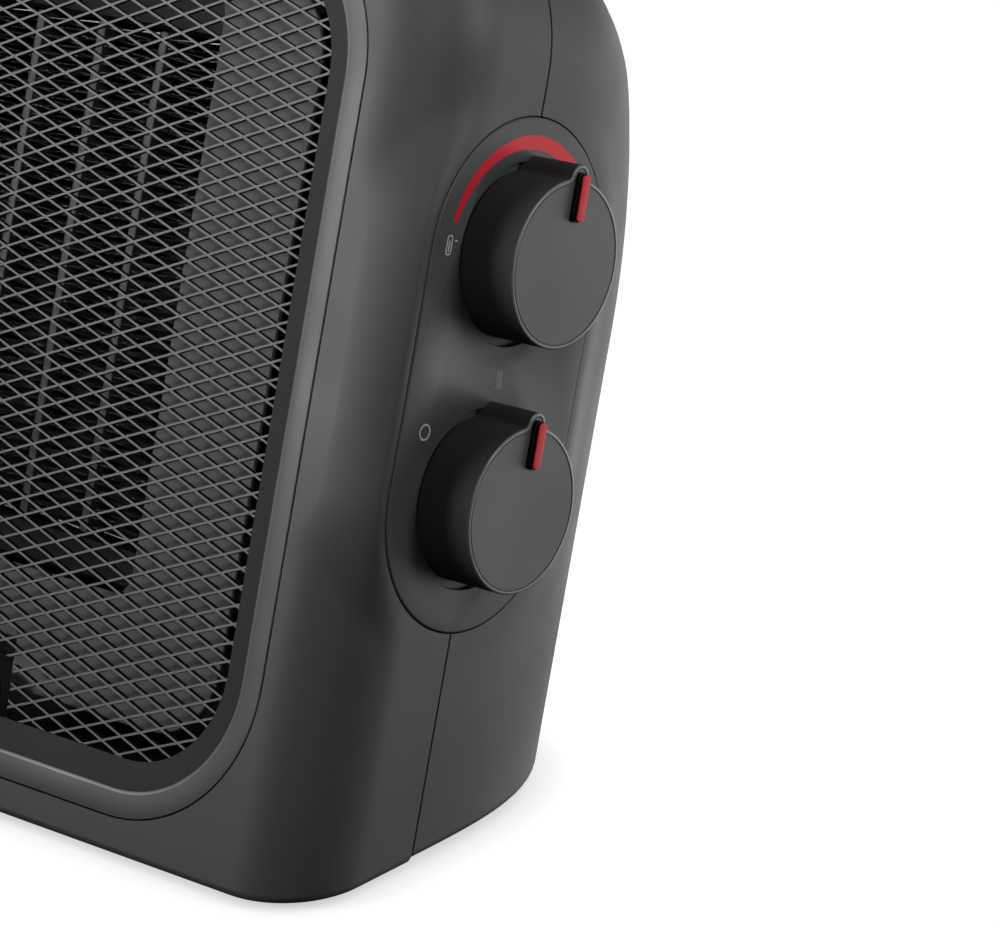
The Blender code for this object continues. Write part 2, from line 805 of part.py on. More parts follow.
def front_mesh():
    """The expanded steel sheet, with one in three of its diamonds in each direction."""
    half = WINDOW_HALF + BEZEL_BAND - WALL - TRIM_GAP
    grow = half - WINDOW_HALF
    bottom, top = WINDOW_BOTTOM - grow, WINDOW_TOP + grow
    radius = BEZEL_CORNER - WALL - TRIM_GAP
    notch_top = WINDOW_BOTTOM + BADGE_NOTCH_RISE
    outline = notched_window(half, bottom, top, radius, BADGE_NOTCH_WIDTH / 2, notch_top)
    holes = []
    wide, tall = MESH_DIAMOND, MESH_DIAMOND * MESH_ASPECT
    middle = (WINDOW_BOTTOM + WINDOW_TOP) / 2
    rows = int((WINDOW_TOP - WINDOW_BOTTOM) / tall)
    half_u, half_v = wide / 2 - MESH_STRAND, tall / 2 - MESH_STRAND * MESH_ASPECT * 1.6
    for row in range(-rows, rows + 1):
        for column in range(-8, 9):
            u = (column + (row % 2) / 2) * wide
            v = middle + row * tall / 2
            clear_side = abs(u) + wide / 2 < WINDOW_HALF
            clear_ends = WINDOW_BOTTOM + tall / 2 < v < WINDOW_TOP - tall / 2
            corner_u = abs(u) - (WINDOW_HALF - radius)
            corner_v = abs(v - middle) - ((WINDOW_TOP - WINDOW_BOTTOM) / 2 - radius)
            clear_corner = corner_u < 0 or corner_v < 0 or hypot(corner_u, corner_v) < radius - wide / 2
            clear_notch = abs(u) - wide / 2 > BADGE_NOTCH_WIDTH / 2 or v - tall / 2 > notch_top
            if clear_side and clear_ends and clear_corner and clear_notch:
                holes.append([(u + half_u, v), (u, v + half_v), (u - half_u, v), (u, v - half_v)])
    place("front_mesh", flat_mesh([outline, *holes], MESH_Y, MESH_Y + MESH_THICKNESS), look_steel())


def badge():
    """A blank plate standing on the bezel's lower edge, in front of the mesh."""
    half = BADGE_WIDTH / 2
    bottom = WINDOW_BOTTOM + FIT
    outline = rounded_rectangle(half, bottom, bottom + BADGE_HEIGHT, BADGE_CORNER)
    front = MESH_Y - FIT - BADGE_THICKNESS
    plate = place("badge_plate", flat_mesh([outline], front, MESH_Y - FIT), look_bezel())
    bevel(plate, 0.0006, 1)


def baffle():
    """The steel panel behind the mesh, with the element's window in it."""
    half = WINDOW_HALF - BAFFLE_SIDE_GAP
    bottom, top = WINDOW_BOTTOM + 0.65 * BAFFLE_SIDE_GAP, WINDOW_TOP - 0.65 * BAFFLE_SIDE_GAP
    notch_top = bottom + BAFFLE_NOTCH_RISE
    outline = notched_window(half, bottom, top, BAFFLE_CORNER, BAFFLE_NOTCH_WIDTH / 2, notch_top)
    reach = FIN_HEIGHT / 2 + HOLDER_HEIGHT
    window = rounded_rectangle(
        ELEMENT_HALF + FIT, ELEMENT_CENTRE - reach - FIT, ELEMENT_CENTRE + reach + FIT, 0.005, 3
    )
    mesh = flat_mesh([outline, window], BAFFLE_Y, BAFFLE_Y + BAFFLE_THICKNESS)
    place("baffle_plate", mesh, look_baffle())


# ---- the heating element ---------------------------------------------------------------------
def element():
    """Ceramic bars standing between two holders, with a folded fin in each space."""
    low, high = ELEMENT_CENTRE - FIN_HEIGHT / 2, ELEMENT_CENTRE + FIN_HEIGHT / 2
    back = ELEMENT_Y + FIN_DEPTH
    for i in range(COLUMNS + 1):
        x = (i - COLUMNS / 2) * COLUMN_PITCH
        mesh = box_mesh((x - BAR_THICKNESS / 2, ELEMENT_Y, low), (x + BAR_THICKNESS / 2, back, high))
        place(f"ceramic_bar_{i + 1}", mesh, look_aluminium())
    for i in range(COLUMNS):
        fin_bank(i, low, high)
    for name, start in (("lower", low - HOLDER_HEIGHT), ("upper", high + FIT)):
        size = HOLDER_HEIGHT - FIT
        mesh = box_mesh((-ELEMENT_HALF, ELEMENT_Y, start), (ELEMENT_HALF, back, start + size))
        bevel(place(f"element_holder_{name}", mesh, look_black()), 0.001, 1)


def fin_bank(i, low, high):
    """One strip of sheet folded to and fro between two bars."""
    left = (i - COLUMNS / 2) * COLUMN_PITCH + BAR_THICKNESS / 2 + FIT
    right = left + COLUMN_PITCH - BAR_THICKNESS - 2 * FIT
    folds = int((high - low) / (FIN_PITCH / 2)) - 1
    shift = FIN_SHEET * (right - left) / FIN_PITCH
    line = []
    for fold in range(folds + 1):
        v = low + FIN_SHEET + (high - low - 2 * FIN_SHEET) * fold / folds
        line.append((left + shift if fold % 2 else right - shift, v))
    one_face = [(u + shift, v) for u, v in line]
    other_face = [(u - shift, v) for u, v in reversed(line)]
    mesh = flat_mesh([one_face + other_face], ELEMENT_Y + FIT, ELEMENT_Y + FIN_DEPTH - FIT)
    place(f"fin_bank_{i + 1}", mesh, look_aluminium())


# ---- the controls ----------------------------------------------------------------------------
def control_panel():
    """The capsule-shaped plate with a round well under each knob."""
    mesh = flat_mesh([capsule(PANEL_RADIUS)], PANEL_X - PANEL_THICKNESS, PANEL_X, "x")
    panel = place("control_panel", mesh, look_shell())
    for name, height in KNOB_CENTRES.items():
        centre = (0, 0, height)
        well = rod_mesh(WELL_RADIUS, PANEL_X - WELL_DEPTH, PANEL_X + WELL_DEPTH, "x", centre, 40)
        hole_end = PANEL_X + 2 * WELL_DEPTH
        hole = rod_mesh(SPINDLE_RADIUS + FIT, PANEL_X - 2 * PANEL_THICKNESS, hole_end, "x", centre, 20)
        well_cutter = place(f"{name}_well", well, cutter=True)
        cut(panel, well_cutter, place(f"{name}_hole", hole, cutter=True))
        knob(name, height)


def knob_outline():
    """A circle with a rounded rib reaching past it at the top, in (y, z) about the axis."""
    half = KNOB_RIB_WIDTH / 2
    tip = KNOB_RADIUS + KNOB_RIB_REACH - half
    meet = atan2(sqrt(KNOB_RADIUS**2 - half**2), half)
    rib = arc((0, tip), half, 0, pi, 8)
    circle = arc((0, 0), KNOB_RADIUS, pi - meet, 2 * pi + meet, 40)
    return rib + circle


def knob(name, height):
    """A knob, its red pointer and the spindle it turns, about the axis through their origins."""
    at = (0, 0, height)
    low = PANEL_X + POINTER_SINK
    body = place(f"{name}_knob", flat_mesh([knob_outline()], low, KNOB_FACE_X, "x"), look_knob(), at)
    bevel(body, KNOB_EDGE, 2, radians(60))
    reach = POINTER_OUTER - POINTER_LENGTH
    half = POINTER_WIDTH / 2
    pad_rim = POINTER_PAD_RIM
    pad = rounded_rectangle(half + pad_rim, reach - pad_rim, POINTER_OUTER + pad_rim, half, 4)
    pad_mesh = flat_mesh([pad], KNOB_FACE_X - POINTER_PAD_HEIGHT, KNOB_FACE_X + POINTER_PAD_HEIGHT, "x")
    join(body, place(f"{name}_pointer_pad", pad_mesh, at=at, cutter=True))
    strip = rounded_rectangle(half, reach, POINTER_OUTER, half * 0.8, 4)
    slot = rounded_rectangle(half + FIT, reach - FIT, POINTER_OUTER + FIT, half * 0.8, 4)
    floor_x = KNOB_FACE_X + POINTER_PAD_HEIGHT - POINTER_SINK
    slot_mesh = flat_mesh([slot], floor_x, KNOB_FACE_X + 3 * POINTER_PAD_HEIGHT, "x")
    bore = rod_mesh(
        SPINDLE_RADIUS + FIT,
        low - WELL_DEPTH,
        PANEL_X - SPINDLE_START + SPINDLE_LENGTH + FIT,
        "x",
        steps=20,
    )
    slot_cutter = place(f"{name}_pointer_slot", slot_mesh, at=at, cutter=True)
    cut(body, slot_cutter, place(f"{name}_bore", bore, at=at, cutter=True))
    top_x = KNOB_FACE_X + POINTER_PAD_HEIGHT + POINTER_PROUD
    place(f"{name}_pointer", flat_mesh([strip], floor_x + FIT, top_x, "x"), look_red(), at)
    start = PANEL_X - SPINDLE_START
    spindle = rod_mesh(SPINDLE_RADIUS, start, start + SPINDLE_LENGTH, "x", steps=20)
    place(f"{name}_spindle", spindle, look_zinc(), at)
    side = SWITCH_SIDE / 2
    block = box_mesh((start - FIT - SWITCH_DEPTH, -side, -side), (start - FIT, side, side))
    bevel(place(f"{name}_switch_body", block, look_black(), at), 0.0015, 1)


# ---- the fan ---------------------------------------------------------------------------------
def fan():
    """Shroud, impeller, shaft, bracket and motor, all on one axis through the element's middle."""
    at = (0, 0, ELEMENT_CENTRE)
    collar_in = FAN_RADIUS + FAN_TIP_GAP
    duct_back = FAN_START - FAN_TIP_GAP
    duct_front = ELEMENT_Y + FIN_DEPTH + FIT
    half_x = ELEMENT_HALF + DUCT_MARGIN
    half_z = FIN_HEIGHT / 2 + HOLDER_HEIGHT
    duct = place(
        "fan_shroud", box_mesh((-half_x, duct_front, -half_z), (half_x, duct_back, half_z)), look_black(), at
    )
    collar_profile = [
        (collar_in, duct_back + COLLAR_DEPTH),
        (collar_in + SHROUD_WALL, duct_back + COLLAR_DEPTH),
        (collar_in + SHROUD_WALL, duct_back - SHROUD_WALL / 2),
        (collar_in, duct_back - SHROUD_WALL / 2),
    ]
    collar = place("shroud_collar", turned_mesh(collar_profile, steps=48), at=at, cutter=True)
    inner_x, inner_z = half_x - SHROUD_WALL, half_z - SHROUD_WALL
    hollow = box_mesh(
        (-inner_x, duct_front - SHROUD_WALL, -inner_z), (inner_x, duct_back - SHROUD_WALL, inner_z)
    )
    throat = rod_mesh(collar_in, duct_front, duct_back + SHROUD_WALL, "y", steps=48)
    hollow_cutter = place("duct_hollow", hollow, at=at, cutter=True)
    cut(duct, hollow_cutter, place("duct_throat", throat, at=at, cutter=True))
    join(duct, collar)
    impeller(at)
    motor(at, duct_back + COLLAR_DEPTH + FIT, collar_in)


def impeller(at):
    """A hub and its pitched blades, in one moulding."""
    middle = FAN_START + FAN_DEPTH / 2
    hub_end = FAN_START + FAN_DEPTH
    profile = [
        (SHAFT_RADIUS + SHAFT_CLEARANCE, hub_end),
        (FAN_HUB_RADIUS, hub_end),
        (FAN_HUB_RADIUS, FAN_START + 0.002),
        (FAN_HUB_RADIUS - 0.002, FAN_START),
        (SHAFT_RADIUS + SHAFT_CLEARANCE, FAN_START),
    ]
    wheel = place("fan_impeller", turned_mesh(profile, steps=28), look_black(), at)
    across, along = 5, 4

    def build(bm):
        for blade in range(FAN_BLADES):
            turn = 2 * pi * blade / FAN_BLADES
            rows = []
            for i in range(across + 1):
                radius = FAN_HUB_RADIUS * 0.8 + (FAN_RADIUS - FAN_HUB_RADIUS * 0.8) * i / across
                spread = radians(34) - radians(6) * i / across
                row = []
                for j in range(along + 1):
                    share = j / along - 0.5
                    angle = turn + spread * share + radians(14) * i / across
                    depth = middle + (FAN_DEPTH - 0.003) * share * (1 - 0.2 * i / across)
                    row.append(bm.verts.new((radius * cos(angle), depth, radius * sin(angle))))
                rows.append(row)
            for one, two in zip(rows, rows[1:]):
                for j in range(along):
                    bm.faces.new((one[j], one[j + 1], two[j + 1], two[j]))

    blades = place("impeller_blades", mesh_of(build), at=at, cutter=True)
    thick = blades.modifiers.new("Solidify", "SOLIDIFY")
    thick.thickness = BLADE_THICKNESS
    thick.offset = 0.0
    join(wheel, blades)
    bore = rod_mesh(SHAFT_RADIUS + SHAFT_CLEARANCE, 0.0, hub_end + FAN_DEPTH, "y", steps=20)
    cut(wheel, place("impeller_bore", bore, at=at, cutter=True))


def motor(at, bracket_y, ring_radius):
    """The motor, the bracket that holds it behind the fan and the shaft through both."""
    bracket_end = bracket_y + BRACKET_THICKNESS
    ring = [
        arc((0, 0), ring_radius + SHROUD_WALL, 0, 2 * pi * 39 / 40, 39),
        arc((0, 0), ring_radius - SHROUD_WALL, 0, 2 * pi * 39 / 40, 39),
    ]
    bracket = place("motor_bracket", flat_mesh(ring, bracket_y, bracket_end), look_zinc(), at)
    arm = BRACKET_ARM_WIDTH / 2
    reach = ring_radius - SHROUD_WALL / 2
    across = box_mesh((-reach, bracket_y, -arm), (reach, bracket_end, arm))
    upright = box_mesh((-arm, bracket_y, -reach), (arm, bracket_end, reach))
    hub = rod_mesh(BRACKET_HUB_RADIUS, bracket_y, bracket_end, "y", steps=28)
    for name, mesh in (("across", across), ("upright", upright), ("hub", hub)):
        join(bracket, place(f"bracket_{name}", mesh, at=at, cutter=True))
    hole = rod_mesh(SHAFT_RADIUS + SHAFT_CLEARANCE, FAN_START, bracket_y + MOTOR_LENGTH, "y", steps=20)
    cut(bracket, place("bracket_hole", hole, at=at, cutter=True))
    start = bracket_end + FIT
    end = start + MOTOR_LENGTH
    bore = SHAFT_RADIUS + SHAFT_CLEARANCE
    profile = [
        (bore, end + MOTOR_BOSS_LENGTH),
        (MOTOR_BOSS_RADIUS, end + MOTOR_BOSS_LENGTH),
        (MOTOR_BOSS_RADIUS, end),
        (MOTOR_RADIUS - 0.002, end),
        (MOTOR_RADIUS, end - 0.002),
        (MOTOR_RADIUS, start),
        (bore, start),
    ]
    place("fan_motor", turned_mesh(profile, steps=28), look_zinc(), at)
    shaft = rod_mesh(SHAFT_RADIUS, FAN_START - 0.002, end + MOTOR_BOSS_LENGTH - FIT, "y", steps=20)
    place("motor_shaft", shaft, look_zinc(), at)


# ---- the back: intake grille, filter, grip and gland -----------------------------------------
def intake():
    """The slotted grille let into the back, and the dust filter held behind it."""
    outer = SEAM_TO_BACK - GRILLE_SET_IN
    inner = outer - GRILLE_THICKNESS
    top = GRILLE_BOTTOM + GRILLE_HEIGHT
    outlines = [rounded_rectangle(GRILLE_WIDTH / 2, GRILLE_BOTTOM, top, GRILLE_CORNER)]
    pitch = GRILLE_SLOT + GRILLE_RIB
    slots = int((GRILLE_HEIGHT - 2 * GRILLE_EDGE + GRILLE_RIB) / pitch)
    span = slots * pitch - GRILLE_RIB
    start = GRILLE_BOTTOM + (GRILLE_HEIGHT - span) / 2
    for i in range(slots):
        low = start + i * pitch
        near_end = min(i, slots - 1 - i) == 0
        half = GRILLE_WIDTH / 2 - GRILLE_EDGE - (GRILLE_CORNER / 2 if near_end else 0.0)
        for side in (-1, 1):
            slot = rounded_rectangle(half / 2 - GRILLE_RIB / 2, low, low + GRILLE_SLOT, GRILLE_SLOT / 2.1, 2)
            outlines.append([(u + side * half / 2, v) for u, v in slot])
    place("rear_grille", flat_mesh(outlines, inner, outer), look_shell())
    back = inner - FILTER_GAP
    filter_low = (-GRILLE_WIDTH / 2 + GRILLE_EDGE / 2, back - FILTER_THICKNESS, start - GRILLE_RIB)
    filter_high = (GRILLE_WIDTH / 2 - GRILLE_EDGE / 2, back, start + span + GRILLE_RIB)
    place("dust_filter", box_mesh(filter_low, filter_high), look_black())


def grip():
    """The cup behind the grip's mouth, for the fingers that carry the heater."""
    frame = grip_frame()
    lip = GRIP_WALL
    low = -2.2 * WALL
    outer = rounded_rectangle(
        GRIP_WIDTH / 2 + lip, -GRIP_HEIGHT / 2 - lip, GRIP_HEIGHT / 2 + lip, GRIP_HEIGHT / 3 + lip
    )
    inner = rounded_rectangle(GRIP_WIDTH / 2, -GRIP_HEIGHT / 2, GRIP_HEIGHT / 2, GRIP_HEIGHT / 3)
    cup = flat_mesh([outer], low - GRIP_DEPTH, low, "z")
    hollow = flat_mesh([inner], low - GRIP_DEPTH + lip, low + lip, "z")
    for mesh in (cup, hollow):
        mesh.transform(frame)
    cup_obj = place("grip_cup", cup, look_shell())
    cut(cup_obj, place("grip_hollow", hollow, cutter=True))


def gland():
    """The cable gland low on the back."""
    surface = SEAM_TO_BACK + FIT
    profile = [
        (GLAND_BORE, surface + GLAND_FLANGE_DEPTH),
        (GLAND_FLANGE_RADIUS - 0.001, surface + GLAND_FLANGE_DEPTH),
        (GLAND_FLANGE_RADIUS, surface + GLAND_FLANGE_DEPTH - 0.001),
        (GLAND_FLANGE_RADIUS, surface),
        (GLAND_RADIUS, surface),
        (GLAND_RADIUS, surface - GLAND_LENGTH),
        (GLAND_BORE, surface - GLAND_LENGTH),
    ]
    place("cord_gland", turned_mesh(profile, steps=28), look_black(), (GLAND_X, 0, GLAND_Z))


# ---- safety and wiring -----------------------------------------------------------------------
def safety():
    """Thermal cut-out and fuse on the back of the baffle, tilt switch and terminal block low down."""
    back = BAFFLE_Y + BAFFLE_THICKNESS + FIT
    cutout = rod_mesh(CUTOUT_RADIUS, back, back + CUTOUT_DEPTH, "y", steps=24)
    place("thermal_cutout", cutout, look_zinc(), (SAFETY_X, 0, ELEMENT_CENTRE))
    fuse = rod_mesh(FUSE_RADIUS, -FUSE_LENGTH / 2, FUSE_LENGTH / 2, "z", steps=16)
    fuse_at = (SAFETY_X, back + FUSE_RADIUS, ELEMENT_CENTRE - CUTOUT_RADIUS - FUSE_LENGTH)
    place("thermal_fuse", fuse, look_white(), fuse_at)
    top = REAR_LIFT + BASE_THICKNESS + FIT
    blocks = (
        ("tilt_switch", BLOCK_X, SEAM_TO_BACK / 2, (TILT_WIDTH, TILT_DEPTH, TILT_HEIGHT), look_black()),
        (
            "terminal_block",
            -BLOCK_X,
            SEAM_TO_BACK / 2,
            (TERMINAL_WIDTH, TERMINAL_DEPTH, TERMINAL_HEIGHT),
            look_white(),
        ),
    )
    for name, x, y, (wide, deep, tall), look in blocks:
        mesh = box_mesh((-wide / 2, -deep / 2, top), (wide / 2, deep / 2, top + tall))
        mesh.transform(floor_frame(x, y))
        bevel(place(name, mesh, look), 0.001, 1)


def main():
    clear_scene()
    lean_frame()
    housing()
    bezel()
    front_mesh()
    badge()
    baffle()
    element()
    control_panel()
    fan()
    intake()
    grip()
    gland()
    safety()
    lean_degrees = degrees(LEAN)
    print(f"heater leaning {lean_degrees:.0f} degrees, {len(HEATER.objects) - 1} pieces")


main()
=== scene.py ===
"""Ceramic space heater, dressed: its shells, bezel, expanded-metal front, element, knobs and back.

Every piece is built in the heater's own leaning frame (x to the side with the knobs, y backwards
from the plane where the two shells meet, z up the front face) and then set into the world, where
it takes the place of the plain solid of the same name or rides beside it.
"""

from __future__ import annotations

import json
import logging
from collections.abc import Callable, Iterable, Sequence
from dataclasses import dataclass, field
from enum import Enum
from math import atan2, cos, hypot, pi, radians, sin, sqrt, tan

import bmesh
import bpy
from bpy.types import Light, Material, MeshPolygon, Node, NodeTree, Object, ShaderNodeTree
from mathutils import Matrix, Vector

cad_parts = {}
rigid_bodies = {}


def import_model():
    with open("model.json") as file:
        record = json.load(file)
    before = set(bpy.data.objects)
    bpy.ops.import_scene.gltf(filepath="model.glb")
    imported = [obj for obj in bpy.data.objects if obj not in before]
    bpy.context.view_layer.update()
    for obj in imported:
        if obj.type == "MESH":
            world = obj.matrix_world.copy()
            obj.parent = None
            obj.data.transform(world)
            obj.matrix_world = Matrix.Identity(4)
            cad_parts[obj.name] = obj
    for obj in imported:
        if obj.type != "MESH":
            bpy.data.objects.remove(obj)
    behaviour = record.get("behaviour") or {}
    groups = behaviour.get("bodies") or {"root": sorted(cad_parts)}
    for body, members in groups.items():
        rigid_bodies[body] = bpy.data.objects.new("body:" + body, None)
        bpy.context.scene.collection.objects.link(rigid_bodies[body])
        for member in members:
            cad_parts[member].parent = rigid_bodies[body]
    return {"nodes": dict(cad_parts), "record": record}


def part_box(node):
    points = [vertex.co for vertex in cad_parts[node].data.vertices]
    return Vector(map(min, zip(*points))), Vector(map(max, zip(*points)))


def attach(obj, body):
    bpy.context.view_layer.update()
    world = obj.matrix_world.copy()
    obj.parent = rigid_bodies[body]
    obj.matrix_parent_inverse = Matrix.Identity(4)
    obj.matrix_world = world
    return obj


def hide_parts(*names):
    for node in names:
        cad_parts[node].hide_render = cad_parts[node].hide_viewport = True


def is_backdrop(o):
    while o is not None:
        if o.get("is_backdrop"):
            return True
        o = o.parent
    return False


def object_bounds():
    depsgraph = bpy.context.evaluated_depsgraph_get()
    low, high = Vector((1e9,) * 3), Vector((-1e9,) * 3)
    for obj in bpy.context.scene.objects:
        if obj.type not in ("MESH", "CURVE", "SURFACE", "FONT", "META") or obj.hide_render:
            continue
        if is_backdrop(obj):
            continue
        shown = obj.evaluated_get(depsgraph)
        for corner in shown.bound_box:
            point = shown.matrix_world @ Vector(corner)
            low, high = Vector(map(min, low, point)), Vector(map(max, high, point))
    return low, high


log = logging.getLogger("ceramic_space_heater")

Point = tuple[float, float]
Outline = list[Point]
Loop = list[Vector]
Colour = tuple[float, float, float]


class Body(Enum):
    """The rigid bodies that new pieces ride on."""

    CASING = "casing"
    THERMOSTAT = "thermostat_control"
    MODE = "mode_control"


class Slot(Enum):
    """The finishes' slots in the record."""

    SHELL = "shell_plastic"
    BEZEL = "bezel_plastic"
    KNOB = "knob_plastic"
    MESH = "mesh_steel"
    BAFFLE = "baffle_steel"
    RED = "signal_red"
    BLACK = "heatproof_black"
    FIN = "fin_aluminium"
    RUBBER = "foot_rubber"
    ZINC = "zinc_steel"
    WHITE = "ceramic_white"


# ---- the frame that everything leans with ----------------------------------------------------
@dataclass(frozen=True)
class LeanFrame:
    """The heater's leaning frame: its lean and the place of its origin in the world."""

    lean: float
    origin: Vector

    @property
    def matrix(self) -> Matrix:
        """The matrix from the leaning frame to the world."""
        return Matrix.Translation(self.origin) @ Matrix.Rotation(-self.lean, 4, "X")

    def to_world(self, x: float, y: float, z: float) -> Vector:
        """A point of the leaning frame, in the world."""
        return self.matrix @ Vector((x, y, z))

    @staticmethod
    def found(lean: float, axis_height: float) -> LeanFrame:
        """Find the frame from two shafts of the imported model.

        Args:
            lean: how far the heater leans back, in radians.
            axis_height: the thermostat axis's height in the leaning frame.

        Returns:
            The frame whose origin puts both shafts where they are.
        """
        low, high = (Vector(corner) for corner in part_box("thermostat_spindle"))
        axis = (low + high) / 2
        low, high = (Vector(corner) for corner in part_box("motor_shaft"))
        x = (low.x + high.x) / 2
        y = axis.y - axis_height * sin(lean)
        z = axis.z - axis_height * cos(lean)
        return LeanFrame(lean, Vector((x, y, z)))


# ---- outlines --------------------------------------------------------------------------------
def arc(centre: Point, radius: float, first: float, last: float, steps: int) -> Outline:
    """Points along an arc.

    Args:
        centre: the arc's centre.
        radius: its radius.
        first: the first angle, in radians.
        last: the last angle.
        steps: how many spans it has.

    Returns:
        The points, both ends included.
    """
    turn = (last - first) / steps
    return [
        (centre[0] + radius * cos(first + turn * i), centre[1] + radius * sin(first + turn * i))
        for i in range(steps + 1)
    ]


def full_circle(centre: Point, radius: float, count: int) -> Outline:
    """A circle of points, the last of them one step short of the first."""
    return arc(centre, radius, 0, 2 * pi * (count - 1) / count, count - 1)


def rounded_rectangle(
    half: float, low: float, high: float, radius: float, steps: int = 8
) -> Outline:
    """A rounded rectangle centred on u = 0, as a closed outline that runs anticlockwise."""
    points: Outline = []
    corners = (
        (half - radius, high - radius, 0.0),
        (radius - half, high - radius, pi / 2),
        (radius - half, low + radius, pi),
        (half - radius, low + radius, 3 * pi / 2),
    )
    for u, v, turn in corners:
        points += arc((u, v), radius, turn, turn + pi / 2, steps)
    return points


def resampled(points: Sequence[Point], count: int, closed: bool = False) -> Outline:
    """The same line with its points spread evenly.

    Args:
        points: the line.
        count: how many spans the new line has.
        closed: whether the line returns to its start.

    Returns:
        count points if it is closed, and count + 1 if it isn't.
    """
    line = list(points) + ([points[0]] if closed else [])
    spans = [0.0]
    for (x0, y0), (x1, y1) in zip(line, line[1:]):
        spans.append(spans[-1] + hypot(x1 - x0, y1 - y0))
    spread: Outline = []
    at = 0
    for i in range(count + (0 if closed else 1)):
        want = spans[-1] * i / count
        while at < len(line) - 2 and spans[at + 1] < want:
            at += 1
        (x0, y0), (x1, y1) = line[at], line[at + 1]
        span = spans[at + 1] - spans[at]
        share = (want - spans[at]) / span if span else 0.0
        spread.append((x0 + (x1 - x0) * share, y0 + (y1 - y0) * share))
    return spread


def drawn_in(outline: Sequence[Point], distance: float) -> Outline:
    """A closed anticlockwise outline moved inwards by a distance, or outwards if it is negative."""
    moved: Outline = []
    count = len(outline)
    for i, (u, v) in enumerate(outline):
        before, after = outline[i - 1], outline[(i + 1) % count]
        along = (after[0] - before[0], after[1] - before[1])
        length = hypot(*along) or 1.0
        moved.append((u - along[1] / length * distance, v + along[0] / length * distance))
    return moved


def moved(outline: Sequence[Point], by: Point) -> Outline:
    """An outline moved as a whole."""
    return [(u + by[0], v + by[1]) for u, v in outline]


def quarter_turn(radius: float, steps: int) -> list[Point]:
    """A rounded edge as (inset, drop) pairs, from the side up on to the face."""
    turns = [pi / 2 * i / steps for i in range(steps + 1)]
    return [(radius * (1 - cos(turn)), radius * (1 - sin(turn))) for turn in turns]


